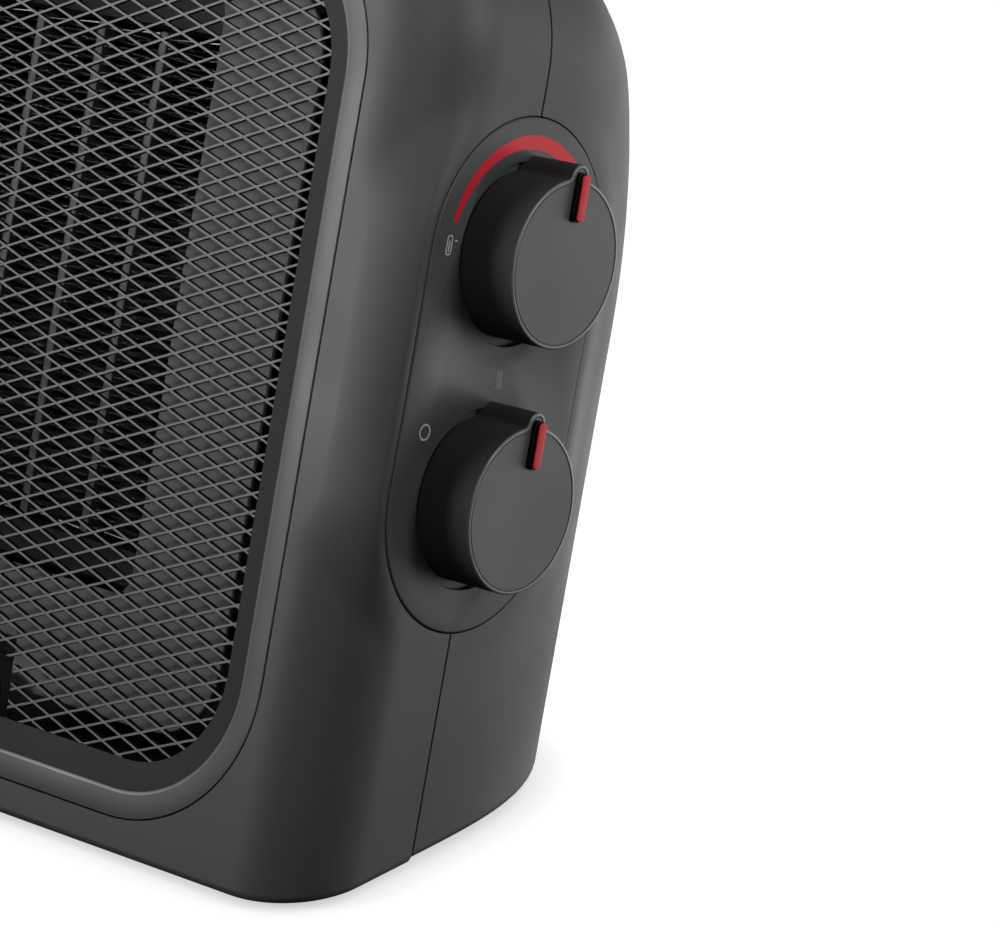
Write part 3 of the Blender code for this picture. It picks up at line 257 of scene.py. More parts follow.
# ---- shaping ---------------------------------------------------------------------------------
class Bench:
    """Blender's own tools, each working on one piece with nothing else selected."""

    @staticmethod
    def clear() -> None:
        """Leave edit mode and deselect everything."""
        if bpy.context.mode != "OBJECT":
            bpy.ops.object.mode_set(mode="OBJECT")
        bpy.ops.object.select_all(action="DESELECT")

    @staticmethod
    def take(obj: Object) -> None:
        """Make one object the only one selected, and active."""
        Bench.clear()
        obj.select_set(True)
        bpy.context.view_layer.objects.active = obj

    @staticmethod
    def named(name: str) -> Object:
        """Name the primitive that has just been added."""
        obj = bpy.context.view_layer.objects.active
        obj.name = name
        obj.data.name = name
        return obj

    @staticmethod
    def edit(obj: Object, mode: str = "VERT") -> None:
        """Open an object for editing with nothing selected in it."""
        Bench.take(obj)
        bpy.ops.object.mode_set(mode="EDIT")
        bpy.ops.mesh.select_mode(type=mode)
        bpy.ops.mesh.select_all(action="DESELECT")

    @staticmethod
    def pick(obj: Object, test: Callable[[Vector, Vector], bool]) -> int:
        """Select faces of an object open for editing.

        Args:
            obj: the object.
            test: says whether a face is wanted, from its middle and its normal.

        Returns:
            How many faces were selected.
        """
        mesh = bmesh.from_edit_mesh(obj.data)
        picked = 0
        for face in mesh.faces:
            wanted = test(face.calc_center_median(), face.normal)
            face.select_set(wanted)
            picked += wanted
        mesh.select_flush_mode()
        bmesh.update_edit_mesh(obj.data)
        return picked

    @staticmethod
    def done() -> None:
        """Close the object that is open for editing."""
        bpy.ops.object.mode_set(mode="OBJECT")

    @staticmethod
    def modify(obj: Object, kind: str, **settings: object) -> None:
        """Add a modifier with these settings and apply it."""
        Bench.take(obj)
        modifier = obj.modifiers.new(kind, kind)
        for key, value in settings.items():
            setattr(modifier, key, value)
        bpy.ops.object.modifier_apply(modifier=modifier.name)

    @staticmethod
    def cut(obj: Object, cutters: Iterable[Object]) -> None:
        """Take solids out of an object, and the solids off the bench."""
        for cutter in cutters:
            Bench.modify(obj, "BOOLEAN", operation="DIFFERENCE", solver="EXACT", object=cutter)
            bpy.data.objects.remove(cutter, do_unlink=True)

    @staticmethod
    def round_edges(obj: Object, width: float, segments: int = 2, angle: float = 40.0) -> None:
        """Round every edge sharper than an angle in degrees."""
        Bench.modify(
            obj,
            "BEVEL",
            width=width,
            segments=segments,
            limit_method="ANGLE",
            angle_limit=radians(angle),
            miter_outer="MITER_ARC",
        )

    @staticmethod
    def skin(name: str, loops: Sequence[Loop], ring: bool = False) -> Object:
        """Extrude a circle of points through a stack of loops.

        Args:
            name: the piece's name.
            loops: the loops, each with as many points as the others.
            ring: whether the last loop is bridged to the first, in place of filling both.

        Returns:
            The piece, its faces pointing outwards.
        """
        Bench.clear()
        bpy.ops.mesh.primitive_circle_add(vertices=len(loops[0]), radius=1.0)
        obj = Bench.named(name)
        for vertex, point in zip(obj.data.vertices, loops[0]):
            vertex.co = point
        bpy.ops.object.mode_set(mode="EDIT")
        mesh = bmesh.from_edit_mesh(obj.data)
        place = {vertex: i for i, vertex in enumerate(mesh.verts)}
        first = list(mesh.verts)
        for loop in loops[1:]:
            made = bmesh.ops.extrude_edge_only(
                mesh, edges=[e for e in mesh.edges if all(v in place for v in e.verts)]
            )
            fresh = [item for item in made["geom"] if isinstance(item, bmesh.types.BMVert)]
            following = {}
            for vertex in fresh:
                partner = next(
                    edge.other_vert(vertex)
                    for edge in vertex.link_edges
                    if edge.other_vert(vertex) in place
                )
                following[vertex] = place[partner]
            for vertex, i in following.items():
                vertex.co = loop[i]
            place = following
        last = list(place)
        if ring:
            bmesh.ops.bridge_loops(mesh, edges=[edge for edge in mesh.edges if edge.is_boundary])
        else:
            for end in (set(first), set(last)):
                edges = [e for e in mesh.edges if e.is_boundary and all(v in end for v in e.verts)]
                bmesh.ops.contextual_create(mesh, geom=edges)
        bmesh.update_edit_mesh(obj.data)
        bpy.ops.mesh.select_all(action="SELECT")
        bpy.ops.mesh.remove_doubles(threshold=1e-7)
        bpy.ops.mesh.normals_make_consistent(inside=False)
        Bench.done()
        return obj

    @staticmethod
    def sheet(
        name: str, columns: int, rows: int, place: Callable[[float, float], Vector]
    ) -> Object:
        """Bend a grid to a surface.

        Args:
            name: the piece's name.
            columns: how many faces the grid is wide.
            rows: how many faces it is tall.
            place: where a point goes, from its column and row.

        Returns:
            The bent grid.
        """
        Bench.clear()
        bpy.ops.mesh.primitive_grid_add(x_subdivisions=columns, y_subdivisions=rows, size=1.0)
        obj = Bench.named(name)
        for vertex in obj.data.vertices:
            column = round((vertex.co.x + 0.5) * columns)
            row = round((vertex.co.y + 0.5) * rows)
            vertex.co = place(column, row)
        return obj

    @staticmethod
    def prism(name: str, outline: Sequence[Point], facing: str, low: float, high: float) -> Object:
        """A straight-sided solid on an outline, between two levels along the axis it faces."""
        return Bench.skin(name, [lifted(outline, facing, low), lifted(outline, facing, high)])

    @staticmethod
    def smooth(obj: Object, angle: float = 32.0) -> None:
        """Shade smooth across every edge under an angle in degrees."""
        Bench.take(obj)
        bpy.ops.object.shade_smooth_by_angle(angle=radians(angle))

    @staticmethod
    def even(obj: Object) -> None:
        """Let the larger faces lead the shading where they meet small ones."""
        Bench.modify(obj, "WEIGHTED_NORMAL", keep_sharp=True, weight=60)

    @staticmethod
    def settle(obj: Object, matrix: Matrix) -> None:
        """Set a piece into place and leave its object at the origin, unturned."""
        Bench.take(obj)
        obj.matrix_world = matrix
        bpy.ops.object.transform_apply(location=True, rotation=True, scale=True)

    @staticmethod
    def copied(node: str, name: str) -> Object:
        """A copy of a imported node, merged and with its flat faces whole."""
        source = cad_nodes[node]
        obj = bpy.data.objects.new(name, source.data.copy())
        bpy.context.scene.collection.objects.link(obj)
        obj.data.materials.clear()
        Bench.edit(obj)
        bpy.ops.mesh.customdata_custom_splitnormals_clear()
        bpy.ops.mesh.select_all(action="SELECT")
        bpy.ops.mesh.remove_doubles(threshold=1e-6)
        bpy.ops.mesh.dissolve_limited(angle_limit=radians(0.5))
        Bench.done()
        return obj


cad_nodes: dict[str, Object] = {}


def lifted(outline: Sequence[Point], facing: str, level: float) -> Loop:
    """An outline's points as a loop at a level along the axis it faces."""
    if facing == "x":
        return [Vector((level, u, v)) for u, v in outline]
    if facing == "y":
        return [Vector((u, level, v)) for u, v in outline]
    return [Vector((u, v, level)) for u, v in outline]


# ---- finishes --------------------------------------------------------------------------------
def group(
    name: str, inputs: dict[str, float], outputs: Sequence[str]
) -> tuple[ShaderNodeTree, Node, Node]:
    """Start a shader group.

    Args:
        name: the group's name.
        inputs: each number it takes and its first value.
        outputs: each value it gives.

    Returns:
        The group's tree, its input node and its output node.
    """
    tree = bpy.data.node_groups.new(name, "ShaderNodeTree")
    for key, value in inputs.items():
        socket = tree.interface.new_socket(name=key, in_out="INPUT", socket_type="NodeSocketFloat")
        socket.default_value = value
    for key in outputs:
        tree.interface.new_socket(name=key, in_out="OUTPUT", socket_type="NodeSocketFloat")
    return tree, tree.nodes.new("NodeGroupInput"), tree.nodes.new("NodeGroupOutput")


def math_node(tree: NodeTree, operation: str, *values: object) -> Node:
    """A Math node whose inputs are sockets or numbers."""
    node = tree.nodes.new("ShaderNodeMath")
    node.operation = operation
    for socket, value in zip(node.inputs, values):
        if isinstance(value, (int, float)):
            socket.default_value = value
        else:
            tree.links.new(value, socket)
    return node


def preset(node: Node, values: dict[str, object]) -> None:
    """Set a node's inputs by their names."""
    for key, value in values.items():
        node.inputs[key].default_value = value


def noise_node(
    tree: NodeTree, vector: object, scale: object, detail: float, rough: float = 0.5
) -> Node:
    """A Noise texture on a vector."""
    node = tree.nodes.new("ShaderNodeTexNoise")
    tree.links.new(vector, node.inputs["Vector"])
    if isinstance(scale, (int, float)):
        node.inputs["Scale"].default_value = scale
    else:
        tree.links.new(scale, node.inputs["Scale"])
    preset(node, {"Detail": detail, "Roughness": rough})
    return node


def moulded_grain() -> ShaderNodeTree:
    """The fine spark-eroded grain of a moulded surface, and the clouding under it."""
    found = bpy.data.node_groups.get("moulded_grain")
    if found:
        return found
    numbers = {"Grain": 2600.0, "Cloud": 22.0}
    tree, source, sink = group("moulded_grain", numbers, ("Height", "Clouding"))
    where = tree.nodes.new("ShaderNodeTexCoord").outputs["Object"]
    fine = noise_node(tree, where, source.outputs["Grain"], 2.0, 0.6)
    cells = tree.nodes.new("ShaderNodeTexVoronoi")
    tree.links.new(where, cells.inputs["Vector"])
    tree.links.new(source.outputs["Grain"], cells.inputs["Scale"])
    height = math_node(tree, "MULTIPLY_ADD", cells.outputs["Distance"], 0.5, fine.outputs[0])
    cloud = noise_node(tree, where, source.outputs["Cloud"], 4.0, 0.55)
    tree.links.new(height.outputs[0], sink.inputs["Height"])
    tree.links.new(cloud.outputs[0], sink.inputs["Clouding"])
    return tree


def settled_dust() -> ShaderNodeTree:
    """Where fine dust lies: on faces that look up, in patches."""
    found = bpy.data.node_groups.get("settled_dust")
    if found:
        return found
    tree, source, sink = group("settled_dust", {"Amount": 0.2, "Patch": 60.0}, ("Mask",))
    geometry = tree.nodes.new("ShaderNodeNewGeometry")
    parts = tree.nodes.new("ShaderNodeSeparateXYZ")
    tree.links.new(geometry.outputs["Normal"], parts.inputs[0])
    up = math_node(tree, "MAXIMUM", parts.outputs["Z"], 0.0)
    steep = math_node(tree, "POWER", up.outputs[0], 3.0)
    where = tree.nodes.new("ShaderNodeTexCoord").outputs["Object"]
    patch = noise_node(tree, where, source.outputs["Patch"], 5.0, 0.65)
    lying = math_node(tree, "MULTIPLY", steep.outputs[0], patch.outputs[0])
    mask = math_node(tree, "MULTIPLY", lying.outputs[0], source.outputs["Amount"])
    tree.links.new(mask.outputs[0], sink.inputs["Mask"])
    return tree


def drawn_lines() -> ShaderNodeTree:
    """The fine lines that rolling or drawing leaves along sheet and wire."""
    found = bpy.data.node_groups.get("drawn_lines")
    if found:
        return found
    numbers = {"Across": 900.0, "Along": 40.0}
    tree, source, sink = group("drawn_lines", numbers, ("Height", "Streak"))
    where = tree.nodes.new("ShaderNodeTexCoord").outputs["Object"]
    stretch = tree.nodes.new("ShaderNodeCombineXYZ")
    tree.links.new(source.outputs["Along"], stretch.inputs["X"])
    tree.links.new(source.outputs["Across"], stretch.inputs["Y"])
    tree.links.new(source.outputs["Across"], stretch.inputs["Z"])
    scaled = tree.nodes.new("ShaderNodeVectorMath")
    scaled.operation = "MULTIPLY"
    tree.links.new(where, scaled.inputs[0])
    tree.links.new(stretch.outputs[0], scaled.inputs[1])
    lines = noise_node(tree, scaled.outputs[0], 1.0, 3.0, 0.6)
    broad = noise_node(tree, where, 120.0, 3.0, 0.6)
    tree.links.new(lines.outputs[0], sink.inputs["Height"])
    streak = math_node(tree, "MULTIPLY", lines.outputs[0], broad.outputs[0])
    tree.links.new(streak.outputs[0], sink.inputs["Streak"])
    return tree


class Surface(Enum):
    """Which relief a finish has."""

    MOULDED = "moulded"
    DRAWN = "drawn"


@dataclass(frozen=True)
class Finish:
    """One finish: its colour and how it varies, its sheen, its relief and its dust."""

    slot: Slot
    colour: Colour
    second: Colour
    roughness: float
    title: str = ""
    roughness_span: float = 0.06
    metallic: float = 0.0
    specular: float = 0.5
    surface: Surface = Surface.MOULDED
    grain: float = 2600.0
    cloud: float = 22.0
    relief: float = 0.05
    relief_depth: float = 0.00004
    dust: float = 0.0

    def build(self) -> Material:
        """Make the material, or return it if it has been made.

        Returns:
            The material, named for its slot or by its own title.
        """
        title = self.title or f"{self.slot.value}_finish"
        found = bpy.data.materials.get(title)
        if found:
            return found
        material = bpy.data.materials.new(title)
        material.use_nodes = True
        material.diffuse_color = (*self.colour, 1.0)
        tree = material.node_tree
        shader = tree.nodes["Principled BSDF"]
        preset(shader, {"Metallic": self.metallic, "Specular IOR Level": self.specular})
        relief = tree.nodes.new("ShaderNodeGroup")
        if self.surface is Surface.MOULDED:
            relief.node_tree = moulded_grain()
            preset(relief, {"Grain": self.grain, "Cloud": self.cloud})
            varies = relief.outputs["Clouding"]
        else:
            relief.node_tree = drawn_lines()
            preset(relief, {"Across": self.grain, "Along": self.cloud})
            varies = relief.outputs["Streak"]
        colour = self._mixed(tree, varies)
        rough = tree.nodes.new("ShaderNodeMapRange")
        tree.links.new(varies, rough.inputs["Value"])
        dull, shiny = self.roughness + self.roughness_span, self.roughness - self.roughness_span
        preset(rough, {"From Min": 0.3, "From Max": 0.7, "To Min": shiny, "To Max": dull})
        tree.links.new(rough.outputs[0], shader.inputs["Roughness"])
        tree.links.new(colour, shader.inputs["Base Color"])
        bump = tree.nodes.new("ShaderNodeBump")
        preset(bump, {"Strength": self.relief, "Distance": self.relief_depth})
        tree.links.new(relief.outputs["Height"], bump.inputs["Height"])
        tree.links.new(bump.outputs[0], shader.inputs["Normal"])
        return material

    def _mixed(self, tree: NodeTree, varies: object) -> object:
        """The colour's socket: two tints clouded together, with dust over them."""
        ramp = tree.nodes.new("ShaderNodeValToRGB")
        stops = ((0.35, self.colour), (0.65, self.second))
        for stop, (position, colour) in zip(ramp.color_ramp.elements, stops):
            stop.position, stop.color = position, (*colour, 1.0)
        tree.links.new(varies, ramp.inputs[0])
        if not self.dust:
            return ramp.outputs[0]
        dust = tree.nodes.new("ShaderNodeGroup")
        dust.node_tree = settled_dust()
        preset(dust, {"Amount": self.dust})
        mix = tree.nodes.new("ShaderNodeMix")
        mix.data_type = "RGBA"
        tree.links.new(dust.outputs["Mask"], mix.inputs["Factor"])
        tree.links.new(ramp.outputs[0], mix.inputs["A"])
        mix.inputs["B"].default_value = (*DUST, 1.0)
        return mix.outputs["Result"]


DUST: Colour = (0.30, 0.29, 0.28)


def grey(level: float, step: float = 0.0) -> Colour:
    """A grey that grows cooler by a step from red to green and from green to blue."""
    return (level, level + step, level + 2 * step)


FINISHES: dict[Slot, Finish] = {
    finish.slot: finish
    for finish in (
        Finish(
            Slot.SHELL, grey(0.043, 0.0015), grey(0.048, 0.0015), 0.55, specular=0.42, dust=0.03
        ),
        Finish(Slot.BEZEL, grey(0.031, 0.001), grey(0.0345, 0.001), 0.50, dust=0.03),
        Finish(Slot.KNOB, grey(0.034), grey(0.039), 0.62, specular=0.05),
        Finish(
            Slot.MESH,
            grey(0.165, 0.0025),
            grey(0.200, 0.0025),
            0.65,
            specular=0.2,
            surface=Surface.DRAWN,
            relief=0.12,
        ),
        Finish(
            Slot.BAFFLE, grey(0.086, 0.002), grey(0.098, 0.002), 0.70, specular=0.2, grain=1400.0
        ),
        Finish(
            Slot.RED, (0.50, 0.010, 0.022), (0.54, 0.014, 0.026), 0.45, specular=0.2, relief=0.02
        ),
        Finish(Slot.BLACK, grey(0.0040), grey(0.0055), 0.55, specular=0.10),
        Finish(
            Slot.FIN,
            grey(0.050),
            grey(0.065),
            0.50,
            specular=0.3,
            surface=Surface.DRAWN,
            grain=600.0,
            relief=0.15,
        ),
        Finish(Slot.RUBBER, grey(0.010), grey(0.014), 0.80, grain=1800.0, relief=0.2),
        Finish(
            Slot.ZINC,
            (0.50, 0.50, 0.48),
            (0.60, 0.60, 0.57),
            0.34,
            metallic=1.0,
            surface=Surface.DRAWN,
            relief=0.1,
        ),
        Finish(Slot.WHITE, (0.70, 0.69, 0.65), (0.76, 0.75, 0.71), 0.45),
    )
}
PRINT = Finish(Slot.WHITE, (0.38, 0.38, 0.37), (0.43, 0.43, 0.42), 0.50, "panel_print", relief=0.02)
FAINT_PRINT = Finish(
    Slot.WHITE, (0.18, 0.18, 0.175), (0.22, 0.22, 0.215), 0.50, "faint_panel_print", relief=0.02
)
# The bezel's inward slope gets a darker copy of the bezel plastic, which is painted shade. Its
# crest and outer edges get a light grey, which is a painted highlight.
BEZEL_SLOPE_SHADE = Finish(
    Slot.BEZEL, grey(0.027, 0.0008), grey(0.030, 0.0008), 0.60, "bezel_slope_painted_shade", specular=0.2
)
BEZEL_EDGE_HIGHLIGHT = Finish(
    Slot.BEZEL, grey(0.105, 0.002), grey(0.115, 0.002), 0.40, "bezel_edge_painted_highlight"
)
# Near-black for the mesh strands' side walls: a painted shadow that stands for the shade the sheet
# casts on the baffle behind it.
STRAND_WALL_SHADOW = Finish(Slot.MESH, grey(0.0030), grey(0.0045), 0.60, "mesh_wall_painted_shadow")
# A lighter grey for the knob's face is painted light on the face that looks towards the lamps. A
# light grey for its rim is a painted highlight.
KNOB_FACE_PAINTED_LIGHT = Finish(
    Slot.KNOB, grey(0.050, 0.0015), grey(0.055, 0.0015), 0.50, "knob_face", relief=0.03
)
KNOB_RIM_HIGHLIGHT = Finish(Slot.KNOB, grey(0.095, 0.0015), grey(0.110, 0.0015), 0.30, "knob_rim_painted_highlight")
# The ceramic bars are given a dark grey.
DARK_BAR = Finish(Slot.FIN, grey(0.040), grey(0.055), 0.55, "bar_dark_grey")
# A light grey for the fins' front edges against their dark faces is a painted highlight.
FIN_EDGE_HIGHLIGHT = Finish(Slot.FIN, grey(0.50), grey(0.60), 0.50, "fin_edge_painted_highlight", surface=Surface.DRAWN)
BADGE_GLOSS = Finish(Slot.BEZEL, grey(0.0060, 0.0001), grey(0.0075, 0.00015), 0.22, "badge_gloss")


@dataclass
class Fitter:
    """Sets finished pieces into the world, dresses them and hides the imported nodes they stand
    for.
    """

    frame: LeanFrame
    fitted: list[str] = field(default_factory=list)

    def fit(
        self,
        obj: Object,
        slot: Slot,
        body: Body,
        *nodes: str,
        leaning: bool = True,
        angle: float = 32.0,
        finish: Finish | None = None,
        others: Sequence[Finish] = (),
        paint: Callable[[MeshPolygon], int] | None = None,
    ) -> Object:
        """Finish a piece.

        Args:
            obj: the piece.
            slot: its finish.
            body: what it rides on.
            nodes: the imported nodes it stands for.
            leaning: whether it was built in the leaning frame.
            angle: the angle, in degrees, above which its edges stay sharp.
            finish: a finish of its own, in place of its slot's.
            others: the finishes of the faces set apart.
            paint: says which finish a face has, as a place in that order.

        Returns:
            The piece.
        """
        for index, each in enumerate((finish or FINISHES[slot], *others)):
            if index < len(obj.data.materials):
                obj.data.materials[index] = each.build()
            else:
                obj.data.materials.append(each.build())
        if paint:
            for face in obj.data.polygons:
                face.material_index = paint(face)
        if leaning:
            Bench.settle(obj, self.frame.matrix)
        Bench.smooth(obj, angle)
        if nodes:
            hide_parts(*nodes)
        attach(obj, body.value)
        self.fitted.append(obj.name)
        log.info("%s rides on %s, in %s", obj.name, body.value, slot.value)
        return obj

    def refine(
        self, node: str, name: str, slot: Slot, width: float, finish: Finish | None = None
    ) -> None:
        """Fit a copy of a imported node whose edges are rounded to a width."""
        piece = Bench.copied(node, name)
        Bench.round_edges(piece, width)
        self.fit(piece, slot, Body.CASING, node, leaning=False, finish=finish)


# ---- the housing -----------------------------------------------------------------------------
@dataclass
class Housing:
    """The two moulded shells, the base they stand on and what is let into the back."""

    fitter: Fitter
    half: float = 0.125
    top: float = 0.231
    face: float = 0.0375
    back: float = 0.0845
    corner: float = 0.0205
    squareness: float = 3.3
    back_arc: float = 0.0965
    top_corner: float = 0.040
    top_edge: float = 0.008
    bottom_edge: float = 0.0024
    bottom_lip: float = 0.0076
    wall: float = 0.0024
    seam: float = 0.0006
    rear_lift: float = 0.0008
    edge: float = 0.0002
    gap: float = 0.0003
    panel_radius: float = 0.0308
    panel_x: float = 0.1253
    knob_heights: tuple[float, float] = (0.1509, 0.0954)
    flare_rim: float = 0.0011
    flare_reach: float = 0.0085
    opening_half: float = 0.1045
    opening_low: float = 0.0087
    opening_high: float = 0.2223
    opening_corner: float = 0.0392
    mesh_y: float = -0.0335
    grip_size: tuple[float, float] = (0.094, 0.030)
    grip_rise: float = radians(42.0)
    grille_size: tuple[float, float, float, float] = (0.124, 0.062, 0.150, 0.014)
    gland: tuple[float, float, float] = (0.045, 0.050, 0.0065)

    def floor_height(self, y: float) -> float:
        """The floor plane's height under a point."""
        return (y + self.face) * tan(self.fitter.frame.lean)

    def edge_fall(self, z: float, radius: float) -> float:
        """How far an edge of a radius has drawn in at a height near the top."""
        into = max(0.0, z - (self.top - radius))
        return radius - sqrt(max(0.0, radius**2 - into**2))

    def front_line(self, z: float, inset: float) -> Outline:
        """The front shell's outline at a height, from the right seam round to the left."""
        half = self.half - self.edge_fall(z, self.top_corner) - inset
        reach = self.face - self.edge_fall(z, self.top_edge) - inset
        radius = self.corner - inset
        turn = arc((half - radius, radius - reach), radius, 0, -pi / 2, 26)
        side = resampled([(half, -self.seam / 2), turn[0]], 9)
        face = resampled([turn[-1], (0.0, -reach)], 10)
        right = side + turn[1:] + face[1:]
        return right + [(-x, y) for x, y in reversed(right[:-1])]

    def back_line(self, z: float, inset: float) -> Outline:
        """The rear shell's outline at a height, from the right seam round to the left."""
        half = self.half - self.edge_fall(z, self.top_corner) - inset
        into = max(0.0, z - (self.top - self.back_arc)) / self.back_arc
        reach = max(0.0, self.back * sqrt(max(0.0, 1 - into**2)) - inset)
        power = 2 / self.squareness
        fine = [pi / 2 * i / 240 for i in range(241)]
        quarter = [
            (half * max(0.0, cos(turn)) ** power, self.seam / 2 + reach * sin(turn) ** power)
            for turn in fine
        ]
        right = resampled(quarter, 44)
        return right + [(-x, y) for x, y in reversed(right[:-1])]

    def flared(self, x: float, y: float, z: float) -> float:
        """The side brought out to the control panel's rim, easing back into the corner."""
        if x <= self.half - self.corner:
            return x
        lower, upper = self.knob_heights[1], self.knob_heights[0]
        away = hypot(y, z - min(max(z, lower), upper)) - self.panel_radius - self.flare_rim
        share = min(max(away / self.flare_reach, 0.0), 1.0)
        blend = 1 - share * share * (3 - 2 * share)
        return x + (self.half - x) * blend

    def rings(self, line: Callable[[float, float], Outline], lift: float) -> list[Loop]:
        """Rings of points from the underside's inner edge to the top."""
        rings: list[Loop] = []

        def ring(inset: float, level: float, height: Callable[[float], float]) -> None:
            """Add one ring, its outline taken at a level and its points raised by a function."""
            points = []
            for x, y in line(level, inset):
                z = height(y)
                points.append(Vector((self.flared(x, y, z), y, z)))
            rings.append(points)

        edge, lip = self.bottom_edge, self.bottom_lip
        ring(edge + lip, 0.0, lambda y: self.floor_height(y) + lift)
        for i in range(9):
            turn = pi / 2 * i / 8
            rise = edge * (1 - cos(turn))
            ring(edge * (1 - sin(turn)), 0.0, lambda y, up=rise: self.floor_height(y) + lift + up)
        first = self.floor_height(self.back) + 3 * edge
        for i in range(1, 8):
            share = i / 8

            def between(y: float, part: float = share) -> float:
                """The height part of the way from the floor's slope to the level."""
                return (1 - part) * (self.floor_height(y) + lift + edge) + part * first

            ring(0.0, 0.0, between)
        last = self.top - self.top_corner - 0.004
        levels = 58
        for i in range(levels + 1):
            level = first + (last - first) * i / levels
            ring(0.0, level, lambda _y, at=level: at)
        start = (self.top - self.top_corner - (self.top - self.back_arc)) / self.back_arc
        begin = atan2(start, sqrt(1 - start**2))
        steps = 26
        for i in range(steps + 1):
            turn = begin + (pi / 2 - begin) * (1 - (1 - i / steps) ** 1.15)
            level = self.top - self.back_arc + self.back_arc * sin(turn)
            ring(0.0, level, lambda _y, at=level: at)
        return rings

    def shell(self, name: str, rings: list[Loop], closed: bool) -> Object:
        """A shell over a set of rings, with its wall inside.

        Args:
            name: the shell's name.
            rings: its rings, from the bottom up.
            closed: whether its last ring is filled, as the front shell's top is.

        Returns:
            The shell, before its openings are cut.
        """
        columns, rows = len(rings[0]) - 1, len(rings) - 1
        obj = Bench.sheet(name, columns, rows, lambda i, j: rings[int(j)][int(i)])
        top = max(point.z for point in rings[-1])
        Bench.edit(obj)
        if closed:
            mesh = bmesh.from_edit_mesh(obj.data)
            for vertex in mesh.verts:
                vertex.select_set(vertex.co.z > top - 1e-7)
            mesh.select_flush_mode()
            bmesh.update_edit_mesh(obj.data)
            bpy.ops.mesh.edge_face_add()
        bpy.ops.mesh.select_all(action="SELECT")
        bpy.ops.mesh.remove_doubles(threshold=1e-6)
        Bench.done()
        middle = Vector((0.0, 0.0, self.top / 2))
        faces = obj.data.polygons
        if sum((face.center - middle).dot(face.normal) * face.area for face in faces) < 0:
            Bench.edit(obj)
            bpy.ops.mesh.select_all(action="SELECT")
            bpy.ops.mesh.flip_normals()
            Bench.done()
        Bench.modify(obj, "SOLIDIFY", thickness=self.wall, offset=-1.0, use_rim=True)
        return obj

    def panel_outline(self, grow: float) -> Outline:
        """The control panel's outline in (y, z), grown by a gap."""
        upper = arc((0.0, self.knob_heights[0]), self.panel_radius + grow, 0, pi, 40)
        lower = arc((0.0, self.knob_heights[1]), self.panel_radius + grow, pi, 2 * pi, 40)
        return upper + lower

    def panel_hole(self) -> Object:
        """The solid that makes the control panel's opening."""
        return Bench.prism(
            "panel_hole",
            self.panel_outline(self.gap),
            "x",
            self.panel_x - self.corner,
            self.panel_x + self.corner,
        )

    def grip_frame(self) -> Matrix:
        """Where the carrying grip's mouth lies, its z axis looking out."""
        rise, reach, height = self.grip_rise, self.back, self.back_arc
        centre = Vector((0, reach * cos(rise), self.top - height + height * sin(rise)))
        out = Vector((0, cos(rise) / reach, sin(rise) / height)).normalized()
        across = Vector((1, 0, 0))
        turn = Matrix((across, out.cross(across), out)).transposed().to_4x4()
        return Matrix.Translation(centre) @ turn

    def build(self) -> None:
        """Make the shells and the pieces let into them."""
        front = self.shell("front_shell_skin", self.rings(self.front_line, 0.0), True)
        window = rounded_rectangle(
            self.opening_half, self.opening_low, self.opening_high, self.opening_corner, 16
        )
        window, before = resampled(window, 220, True), -self.face - self.wall
        opening = Bench.prism("front_hole", window, "y", before, self.mesh_y + 0.003)
        Bench.cut(front, (opening, self.panel_hole()))
        Bench.round_edges(front, self.edge, 2, 50.0)
        Bench.even(self.fitter.fit(front, Slot.SHELL, Body.CASING, "front_shell"))
        rear = self.shell("rear_shell_skin", self.rings(self.back_line, self.rear_lift), False)
        width, low, high, corner = self.grille_size
        deep = self.back - 4 * self.wall
        fit = self.gap
        intake = rounded_rectangle(width / 2 + fit, low - fit, high + fit, corner + fit, 12)
        grille = Bench.prism("grille_hole", intake, "y", deep, self.back + self.wall)
        across, tall = self.grip_size
        mouth = rounded_rectangle(across / 2, -tall / 2, tall / 2, tall / 3, 12)
        grip = Bench.prism("grip_hole", mouth, "z", -6 * self.wall, 4 * self.wall)
        Bench.settle(grip, self.grip_frame())
        x, z, radius = self.gland
        bore = full_circle((x, z), radius + fit, 48)
        gland = Bench.prism("gland_hole", bore, "y", deep, self.back + self.wall)
        Bench.cut(rear, (self.panel_hole(), grille, grip, gland))
        Bench.round_edges(rear, self.edge, 2, 50.0)
        Bench.even(self.fitter.fit(rear, Slot.SHELL, Body.CASING, "rear_shell"))
        for node, slot, width in (
            ("base_plate", Slot.SHELL, 0.0005),
            ("rear_grille", Slot.SHELL, 0.0005),
            ("grip_cup", Slot.SHELL, 0.0006),
            ("cord_gland", Slot.BLACK, 0.0005),
        ):
            self.fitter.refine(node, f"{node}_moulding", slot, width)


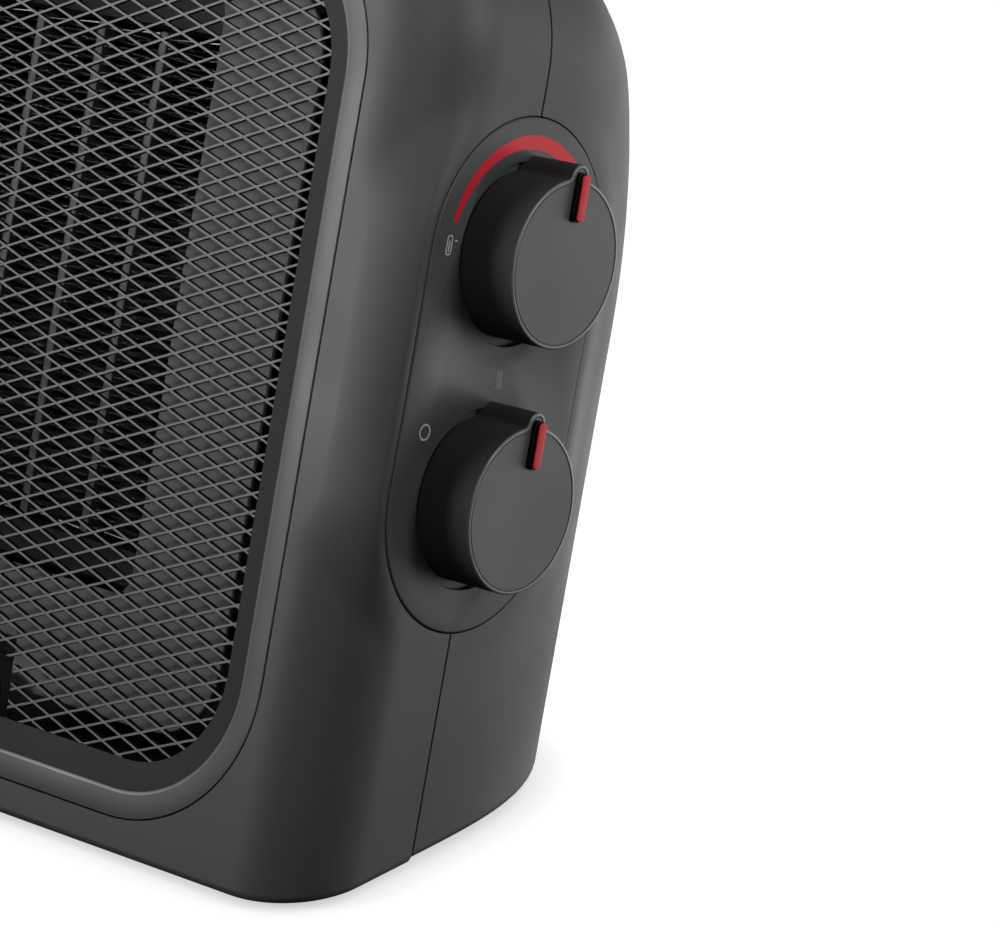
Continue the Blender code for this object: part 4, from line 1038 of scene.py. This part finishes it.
# ---- the front -------------------------------------------------------------------------------
@dataclass
class Front:
    """The bezel, the expanded-metal sheet, the blank badge plate and the baffle behind."""

    fitter: Fitter
    half: float = 0.0913
    low: float = 0.0219
    high: float = 0.2091
    corner: float = 0.0260
    mesh_y: float = -0.0335
    slope: float = 0.0070
    slope_depth: float = 0.0034
    flat: float = 0.0058
    flat_rise: float = 0.0007
    crest: float = 0.0006
    lip_depth: float = 0.0030
    lip_wall: float = 0.0024
    diamond_long: float = 0.0114
    diamond_short: float = 0.00422
    strand: float = 0.00052
    sheet: float = 0.0014
    lattice_turn: float = radians(1.95)
    lattice_node: tuple[float, float] = (0.0022, 0.1172)
    badge_half: float = 0.0221
    badge_low: float = 0.0160
    badge_top: float = 0.0320
    badge_corner: float = 0.0050
    badge_stand: float = 0.0020
    notch_half: float = 0.0259
    notch_top: float = 0.0360

    def bezel(self) -> None:
        """Sweep the bezel's section round its outline."""
        front = self.mesh_y - self.slope_depth
        grown = [(0.0, self.mesh_y - 0.0002), (0.0, self.mesh_y - 0.0007)]
        fall = self.slope_depth / self.slope
        before = Vector((self.slope - self.crest, front + self.crest * fall))
        corner = Vector((self.slope, front))
        after = Vector((self.slope + self.crest, front - 0.00004))
        for i in range(6):
            share = i / 5
            bend = before.lerp(corner, share).lerp(corner.lerp(after, share), share)
            grown.append((bend.x, bend.y))
        edge = self.slope + self.flat
        outer = front - self.flat_rise
        for inset, drop in reversed(quarter_turn(0.0003, 3)):
            grown.append((edge - inset, outer + drop))
        back, inner = self.mesh_y + self.lip_depth, edge - self.lip_wall
        grown += [(edge, back), (inner, back), (inner, self.mesh_y - 0.0002)]
        loops = []
        for grow, level in grown:
            line = rounded_rectangle(
                self.half + grow, self.low - grow, self.high + grow, self.corner + grow, 20
            )
            loops.append(lifted(line, "y", level))
        piece = Bench.skin("bezel_frame", loops, ring=True)
        self.fitter.fit(
            piece,
            Slot.BEZEL,
            Body.CASING,
            "grille_bezel",
            angle=40.0,
            others=(BEZEL_SLOPE_SHADE, BEZEL_EDGE_HIGHLIGHT),
            paint=self.bezel_finish,
        )

    def bezel_finish(self, face: MeshPolygon) -> int:
        """Which finish a face of the bezel has: plain, the slope's darker grey (painted shade) or
        the edges' light grey (a painted highlight).
        """
        facing = -face.normal.y
        if not 0.25 <= facing <= 0.988:
            return 0
        height = face.center.z - (self.low + self.high) / 2
        inward = face.normal.x * face.center.x + face.normal.z * height < 0
        return 1 if inward and facing < 0.94 else 2

    def kept(self, u: float, v: float) -> bool:
        """Whether a diamond at a place belongs to the sheet."""
        reach = 0.0062
        half, low, high = self.half + reach, self.low - reach, self.high + reach
        radius = self.corner + reach
        if abs(u) > half or not low < v < high:
            return False
        side = max(0.0, abs(u) - (half - radius))
        end = max(0.0, (low + radius) - v, v - (high - radius))
        return hypot(side, end) <= radius

    def expanded_sheet(self) -> None:
        """Slit and stretch a grid into diamonds, and give its strands their thickness."""
        cells = 70
        Bench.clear()
        bpy.ops.mesh.primitive_grid_add(x_subdivisions=cells, y_subdivisions=cells, size=cells)
        sheet = Bench.named("expanded_sheet")
        Bench.settle(sheet, Matrix.Rotation(pi / 4, 4, "Z"))
        stretch = (self.diamond_long / sqrt(2), self.diamond_short / sqrt(2), 1.0, 1.0)
        Bench.settle(sheet, Matrix.Diagonal(stretch))
        place = Matrix.Translation((*self.lattice_node, 0.0))
        Bench.settle(sheet, place @ Matrix.Rotation(self.lattice_turn, 4, "Z"))
        Bench.edit(sheet, "FACE")
        Bench.pick(sheet, lambda middle, _normal: not self.kept(middle.x, middle.y))
        bpy.ops.mesh.delete(type="FACE")
        bpy.ops.mesh.select_all(action="SELECT")
        bpy.ops.mesh.inset(thickness=self.strand / 2, use_individual=True, use_boundary=True)
        bpy.ops.mesh.delete(type="FACE")
        margin = 3 * self.diamond_short
        for co, no in (
            ((self.notch_half, 0.0, 0.0), (1.0, 0.0, 0.0)),
            ((-self.notch_half, 0.0, 0.0), (1.0, 0.0, 0.0)),
            ((0.0, self.notch_top, 0.0), (0.0, 1.0, 0.0)),
        ):
            Bench.pick(
                sheet,
                lambda middle, _normal: abs(middle.x) < self.notch_half + margin
                and middle.y < self.notch_top + margin,
            )
            bpy.ops.mesh.bisect(plane_co=co, plane_no=no)
        Bench.pick(
            sheet,
            lambda middle, _normal: abs(middle.x) < self.notch_half and middle.y < self.notch_top,
        )
        bpy.ops.mesh.delete(type="FACE")
        Bench.done()
        # The strands' faces take the mesh steel, and their side walls take a near-black grey, which
        # is a painted shadow.
        sheet.data.materials.append(FINISHES[Slot.MESH].build())
        sheet.data.materials.append(STRAND_WALL_SHADOW.build())
        Bench.modify(
            sheet,
            "SOLIDIFY",
            thickness=self.sheet,
            offset=-1.0,
            use_rim=True,
            material_offset_rim=1,
            material_offset=1,
        )
        upright = Matrix.Rotation(pi / 2, 4, "X")
        Bench.settle(sheet, Matrix.Translation((0, self.mesh_y, 0)) @ upright)
        self.fitter.fit(sheet, Slot.MESH, Body.CASING, "front_mesh", angle=25.0, others=(STRAND_WALL_SHADOW,))

    def badge(self) -> None:
        """The blank plate on the bezel's lower edge: a rim round a shallow field."""
        line = rounded_rectangle(
            self.badge_half, self.badge_low, self.badge_top, self.badge_corner, 10
        )
        face = self.mesh_y - self.badge_stand
        loops = [lifted(line, "y", self.mesh_y + 0.0010)]
        for inset, drop in quarter_turn(0.0006, 5):
            loops.append(lifted(drawn_in(line, inset), "y", face + drop))
        loops.append(lifted(drawn_in(line, 0.0012), "y", face))
        loops.append(lifted(drawn_in(line, 0.0015), "y", face + 0.0003))
        loops.append(lifted(drawn_in(line, 0.0019), "y", face + 0.0004))
        piece = Bench.skin("badge_blank", loops)
        self.fitter.fit(piece, Slot.BEZEL, Body.CASING, "badge_plate", finish=BADGE_GLOSS)

    def build(self) -> None:
        """Make the front's pieces."""
        self.bezel()
        self.expanded_sheet()
        self.badge()
        baffle = Bench.copied("baffle_plate", "baffle_panel")
        Bench.round_edges(baffle, 0.0003, 1, 40.0)
        self.fitter.fit(baffle, Slot.BAFFLE, Body.CASING, "baffle_plate", leaning=False)


# ---- the heating element ---------------------------------------------------------------------
@dataclass
class Element:
    """Ceramic bars with a finely folded fin in each space between them."""

    fitter: Fitter
    columns: int = 5
    pitch: float = 0.01995
    bar: float = 0.0026
    bar_edge: float = 0.0005
    height: float = 0.1185
    centre: float = 0.12655
    front: float = -0.0221
    depth: float = 0.0150
    fold: float = 0.00205
    metal: float = 0.00028
    clear: float = 0.0006
    set_back: float = 0.0004

    def fin(self, index: int) -> None:
        """Fold one strip to and fro between two bars."""
        left = (index - self.columns / 2) * self.pitch + self.bar / 2 + self.clear / 2
        right = left + self.pitch - self.bar - self.clear
        folds = 2 * int(self.height / self.fold) - 2
        low = self.centre - self.height / 2 + self.clear
        rise = (self.height - 2 * self.clear) / folds

        def place(across: float, along: float) -> Vector:
            """Where a corner of the strip goes: its rows lie left and right by turns."""
            row = int(along)
            u = left if row % 2 else right
            deep = self.set_back + (self.depth - 2 * self.set_back) * across
            return Vector((u, self.front + deep, low + rise * row))

        strip = Bench.sheet(f"folded_fin_{index + 1}", 1, folds, place)
        Bench.modify(strip, "SOLIDIFY", thickness=self.metal, offset=0.0, use_rim=True)
        # The fins' front-facing edges take the light grey, which is a painted highlight.
        self.fitter.fit(
            strip,
            Slot.FIN,
            Body.CASING,
            f"fin_bank_{index + 1}",
            angle=20.0,
            others=(FIN_EDGE_HIGHLIGHT,),
            paint=lambda face: int(face.normal.y < -0.9),
        )

    def build(self) -> None:
        """Make the fins and bars."""
        for index in range(self.columns):
            self.fin(index)
        for index in range(1, self.columns + 2):
            node, name = f"ceramic_bar_{index}", f"heating_bar_{index}"
            self.fitter.refine(node, name, Slot.FIN, self.bar_edge, DARK_BAR)


# ---- the controls ----------------------------------------------------------------------------
@dataclass
class Controls:
    """The capsule panel with its printed marks, and the two knobs."""

    fitter: Fitter
    housing: Housing
    well: float = 0.0209
    well_depth: float = 0.0010
    thickness: float = 0.0030
    edge: float = 0.0005
    radius: float = 0.0190
    knob_base: float = 0.1239
    knob_face: float = 0.13866
    rib_tip: float = 0.0223
    rib_radius: float = 0.0030
    shoulder: float = 0.0014
    chamfer: float = 0.0004
    groove: tuple[Point, ...] = (
        (0.0007, 0.0),
        (0.00082, 0.00022),
        (0.00100, 0.00022),
        (0.00112, 0.00006),
    )
    rim: float = 0.00068
    sharp: float = 28.0
    insert: tuple[float, float, float] = (0.0099, 0.0202, 0.0028)
    pad_height: float = 0.0009
    insert_proud: float = 0.0018
    print_height: float = 0.00005

    def panel(self) -> None:
        """The panel: a capsule with a rounded edge and a well under each knob."""
        line = resampled(self.housing.panel_outline(0.0), 200, True)
        front = self.housing.panel_x
        loops = [lifted(line, "x", front - self.thickness)]
        for inset, drop in quarter_turn(self.edge, 4):
            loops.append(lifted(drawn_in(line, inset), "x", front - drop))
        panel = Bench.skin("control_capsule", loops)
        cutters = []
        for height in self.housing.knob_heights:
            rim = full_circle((0.0, height), self.well, 96)
            cutters.append(
                Bench.prism("well", rim, "x", front - self.well_depth - 0.0008, front + 0.002)
            )
        Bench.cut(panel, cutters)
        Bench.round_edges(panel, 0.0002, 2, 50.0)
        self.fitter.fit(panel, Slot.SHELL, Body.CASING, "control_panel")

    def knob_line(self) -> Outline:
        """The knob's outline about its axis: a circle, two hollow shoulders and a rounded rib."""
        tip = self.rib_tip - self.rib_radius
        far, near = self.radius + self.shoulder, self.rib_radius + self.shoulder
        v = (far**2 - near**2 + tip**2) / (2 * tip)
        u = sqrt(far**2 - v**2)
        on_circle = atan2(v, u)
        on_tip = atan2(v - tip, u)
        right = arc((0.0, tip), self.rib_radius, pi / 2, on_tip, 14)
        right += arc((u, v), self.shoulder, pi + on_tip, pi + on_circle, 8)[1:]
        right += arc((0.0, 0.0), self.radius, on_circle, -pi / 2, 64)[1:]
        left = [(-a, b) for a, b in reversed(right[1:-1])]
        return resampled(list(reversed(right + left)), 240, True)

    def knob(self, name: str, body: Body, height: float) -> None:
        """One knob with its plinth and red pointer.

        Args:
            name: what the knob sets.
            body: the body it turns with.
            height: its axis's height in the leaning frame.
        """
        line = moved(self.knob_line(), (0.0, height))
        low, high = self.knob_base, self.knob_face
        loops = [lifted(drawn_in(line, 0.0004), "x", low), lifted(line, "x", low + 0.0004)]
        loops.append(lifted(line, "x", (low + high) / 2))
        for inset, drop in quarter_turn(self.chamfer, 4):
            loops.append(lifted(drawn_in(line, inset), "x", high - drop))
        for inset, drop in self.groove:
            loops.append(lifted(drawn_in(line, inset), "x", high - drop))
        knob = Bench.skin(f"{name}_grip", loops)

        def finish_of(face: MeshPolygon) -> int:
            """Which finish a face of the knob has: the side's, the rim's light grey (a painted
            highlight) or the face's lighter grey (painted light).
            """
            if face.center.x <= high - 0.8 * self.chamfer:
                return 0
            away = min(hypot(face.center.y - u, face.center.z - v) for u, v in line)
            return 1 if away < self.rim else 2

        self.fitter.fit(
            knob,
            Slot.KNOB,
            body,
            f"{name}_knob",
            angle=self.sharp,
            others=(KNOB_RIM_HIGHLIGHT, KNOB_FACE_PAINTED_LIGHT),
            paint=finish_of,
        )
        start, stop, width = self.insert
        strip = moved(rounded_rectangle(width / 2, start, stop, width * 0.34), (0.0, height))
        base = drawn_in(strip, -0.00040)
        step = high + self.pad_height
        top = high + self.insert_proud
        plinth = Bench.skin(
            f"{name}_plinth",
            [
                lifted(base, "x", high - 0.0006),
                lifted(base, "x", step - 0.00014),
                lifted(drawn_in(base, 0.00014), "x", step),
                lifted(drawn_in(base, 0.00036), "x", step),
                lifted(strip, "x", step + 0.0001),
                lifted(strip, "x", top - 0.00025),
            ],
        )
        self.fitter.fit(plinth, Slot.BLACK, body, angle=self.sharp)
        cap = [lifted(strip, "x", top - 0.00024)]
        for inset, drop in quarter_turn(0.00016, 3):
            cap.append(lifted(drawn_in(strip, inset), "x", top - drop))
        pointer = Bench.skin(f"{name}_red_pointer", cap)
        self.fitter.fit(pointer, Slot.RED, body, f"{name}_pointer", angle=self.sharp)

    def printed(self, name: str, line: Outline, slot: Slot, ink: Finish | None = None) -> None:
        """A filled mark printed on the panel."""
        base = self.housing.panel_x
        piece = Bench.prism(name, line, "x", base - 0.0001, base + self.print_height)
        self.fitter.fit(piece, slot, Body.CASING, finish=ink)

    def outlined(self, name: str, line: Outline, stroke: float) -> None:
        """A mark printed as the outline of a shape."""
        base = self.housing.panel_x
        inner = drawn_in(line, stroke)
        low, high = base - 0.0001, base + self.print_height
        loops = [
            lifted(line, "x", low),
            lifted(line, "x", high),
            lifted(inner, "x", high),
            lifted(inner, "x", low),
        ]
        piece = Bench.skin(name, loops, ring=True)
        self.fitter.fit(piece, Slot.WHITE, Body.CASING, finish=PRINT)

    def marks(self) -> None:
        """The heat arc round the thermostat, and the generic signs beside both knobs."""
        upper, lower = self.housing.knob_heights
        first, last, steps = radians(-77), radians(92), 60
        outer, inner = [], []
        for i in range(steps + 1):
            turn = first + (last - first) * i / steps
            share = min(1.0, max(0.0, (turn - first) / radians(77)))
            half = 0.00075 + 0.0009 * share**0.8
            middle = 0.0252
            outer.append(((middle + half) * sin(turn), (middle + half) * cos(turn) + upper))
            inner.append(((middle - half) * sin(turn), (middle - half) * cos(turn) + upper))
        self.printed("heat_arc", list(reversed(outer)) + inner, Slot.RED)
        at = (0.0253 * sin(radians(-89)), upper + 0.0253 * cos(radians(-89)))
        glass = moved(rounded_rectangle(0.00098, -0.0023, 0.0023, 0.00092, 8), at)
        self.outlined("thermometer_sign", glass, 0.00034)
        stem = moved(rounded_rectangle(0.00022, -0.0015, 0.0010, 0.00018, 4), at)
        self.printed("thermometer_bulb", stem, Slot.WHITE, PRINT)
        tick = rounded_rectangle(0.00055, -0.00015, 0.00015, 0.00012, 2)
        tick = moved(tick, (at[0] + 0.0022, at[1] + 0.0011))
        self.printed("thermometer_tick", tick, Slot.WHITE, PRINT)
        turn = radians(-57)
        ring = (0.0268 * sin(turn), lower + 0.0268 * cos(turn))
        self.outlined("off_sign", full_circle(ring, 0.0019, 48), 0.0004)
        for index in range(3):
            shift = (index - 1) * 0.00075
            spine = [
                (shift + 0.0009 + 0.00022 * sin(2 * pi * i / 16), lower + 0.0251 + 0.0041 * i / 16)
                for i in range(17)
            ]
            right = [(u + 0.00012, v) for u, v in spine]
            left = [(u - 0.00012, v) for u, v in reversed(spine)]
            self.printed(f"warm_air_sign_{index + 1}", right + left, Slot.WHITE, FAINT_PRINT)

    def build(self) -> None:
        """Make the panel, its marks and both knobs."""
        self.panel()
        self.marks()
        self.knob("thermostat", Body.THERMOSTAT, self.housing.knob_heights[0])
        self.knob("mode", Body.MODE, self.housing.knob_heights[1])


# ---- the studio ------------------------------------------------------------------------------
WHITE_LIGHT = (1.0, 1.0, 1.0, 1.0)


@dataclass
class Studio:
    """The camera, the pale floor and the soft light."""

    frame: LeanFrame
    camera_at: tuple[float, float, float] = (0.6273, -0.6721, 0.1913)
    azimuth: float = 38.62
    elevation: float = 18.65
    lens: float = 135.8
    ambient: float = 0.015

    def camera(self) -> None:
        """Set the camera where the heater is looked at from."""
        Bench.clear()
        place = self.frame.to_world(*self.camera_at)
        turn = (radians(90 - self.elevation), 0.0, radians(self.azimuth))
        bpy.ops.object.camera_add(location=place, rotation=turn)
        camera = bpy.context.view_layer.objects.active
        camera.data.lens = self.lens
        camera.data.sensor_width = 36.0
        camera.data.clip_start = 0.01
        bpy.context.scene.camera = camera

    def floor(self) -> None:
        """A plain pale floor that shades off into the backdrop; its glow is dimmed by ambient
        occlusion close to the heater, a painted contact shadow.
        """
        Bench.clear()
        bpy.ops.mesh.primitive_plane_add(size=30.0, location=(0, 0, 0))
        floor = Bench.named("studio_floor")
        material = bpy.data.materials.new("studio_floor")
        material.use_nodes = True
        shader = material.node_tree.nodes["Principled BSDF"]
        preset(shader, {"Base Color": (0.25, 0.25, 0.25, 1.0), "Roughness": 0.9})
        preset(shader, {"Specular IOR Level": 0.0, "Emission Color": WHITE_LIGHT})
        # Painted contact shadow: the floor's glow is dimmed where the heater stands close.
        contact_shade = material.node_tree.nodes.new("ShaderNodeAmbientOcclusion")
        preset(contact_shade, {"Distance": 0.013})
        shadowed_glow = math_node(material.node_tree, "MULTIPLY_ADD", contact_shade.outputs["AO"], 0.46, 0.54)
        material.node_tree.links.new(shadowed_glow.outputs[0], shader.inputs["Emission Strength"])
        floor.data.materials.append(material)
        floor.visible_diffuse = False
        floor.visible_glossy = False
        floor.visible_shadow = False
        floor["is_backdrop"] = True

    def light(self, kind: str, name: str, at: Vector, aim: Vector, power: float) -> Light:
        """Hang a light, aim it and return its settings."""
        Bench.clear()
        bpy.ops.object.light_add(type=kind, location=at)
        lamp = bpy.context.view_layer.objects.active
        lamp.name = name
        lamp.data.energy = power
        lamp.rotation_euler = (aim - at).to_track_quat("-Z", "Y").to_euler()
        return lamp.data

    def lamp(self, name: str, at: Vector, size: tuple[float, float], power: float) -> None:
        """A soft rectangular lamp that looks at the heater's middle."""
        lamp = self.light("AREA", name, at, Vector((0.0, 0.0, 0.11)), power)
        lamp.shape = "RECTANGLE"
        lamp.size, lamp.size_y = size

    def spot(self, name: str, at: Vector, aim: Vector, cone: float, power: float) -> None:
        """A broad lamp whose soft cone, an angle in degrees, fades down the heater."""
        lamp = self.light("SPOT", name, at, aim, power)
        lamp.spot_size = radians(cone)
        lamp.spot_blend = 1.0
        lamp.shadow_soft_size = 0.3

    def backdrop(self) -> None:
        """A white backdrop to look at, and a dimmer sky to light by."""
        world = bpy.data.worlds.new("studio")
        bpy.context.scene.world = world
        world.use_nodes = True
        tree = world.node_tree
        tree.nodes.clear()
        seen = tree.nodes.new("ShaderNodeBackground")
        preset(seen, {"Color": WHITE_LIGHT, "Strength": 1.05})
        lit = tree.nodes.new("ShaderNodeBackground")
        preset(lit, {"Color": WHITE_LIGHT, "Strength": self.ambient})
        path = tree.nodes.new("ShaderNodeLightPath")
        mix = tree.nodes.new("ShaderNodeMixShader")
        out = tree.nodes.new("ShaderNodeOutputWorld")
        tree.links.new(path.outputs["Is Camera Ray"], mix.inputs[0])
        tree.links.new(lit.outputs[0], mix.inputs[1])
        tree.links.new(seen.outputs[0], mix.inputs[2])
        tree.links.new(mix.outputs[0], out.inputs[0])
        bpy.context.scene.view_settings.view_transform = "Standard"

    def build(self) -> None:
        """Set up the whole studio."""
        self.camera()
        self.floor()
        self.backdrop()
        self.lamp("overhead", Vector((0.6, 1.2, 1.3)), (1.6, 1.2), 3.6)
        self.lamp("behind", Vector((0.55, 1.7, -0.3)), (2.6, 1.2), 19.0)
        for name, at, aim, cone, power in (
            ("camera_side", (0.85, -0.80, 0.85), (0.08, 0.0, 0.30), 30.0, 32.0),
            ("left_side", (-0.70, -1.05, 0.60), (0.05, -0.03, 0.30), 34.0, 106.0),
            ("right_side", (1.25, 0.35, 0.75), (0.1, 0.03, 0.30), 30.0, 65.0),
        ):
            self.spot(name, Vector(at), Vector(aim), cone, power)


def dress_packed_nodes(record: dict) -> None:
    """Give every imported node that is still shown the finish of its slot."""
    for part in record["subparts"]:
        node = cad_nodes[part["node"]]
        finish = FINISHES[Slot(part["material_slot"])].build()
        if not node.material_slots:
            node.data.materials.append(finish)
        for place in node.material_slots:
            place.material = finish


def corners(bounds: Sequence[Vector]) -> list[list[float]]:
    """A box as plain lists of numbers."""
    return [[float(value) for value in corner] for corner in bounds]


def main() -> None:
    """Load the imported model, dress it, light it and report each piece."""
    logging.basicConfig(level=logging.INFO, format="%(message)s")
    for obj in list(bpy.data.objects):
        bpy.data.objects.remove(obj, do_unlink=True)
    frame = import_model()
    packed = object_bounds()
    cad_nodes.update(frame["nodes"])
    lean = LeanFrame.found(radians(16.0), Housing.knob_heights[0])
    fitter = Fitter(lean)
    dress_packed_nodes(frame["record"])
    housing = Housing(fitter)
    housing.build()
    Front(fitter).build()
    Element(fitter).build()
    Controls(fitter, housing).build()
    Studio(lean).build()
    log.info("%d pieces fitted", len(fitter.fitted))
    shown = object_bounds()
    {"cad": corners(packed), "visual": corners(shown)}


if __name__ == "__main__":
    main()
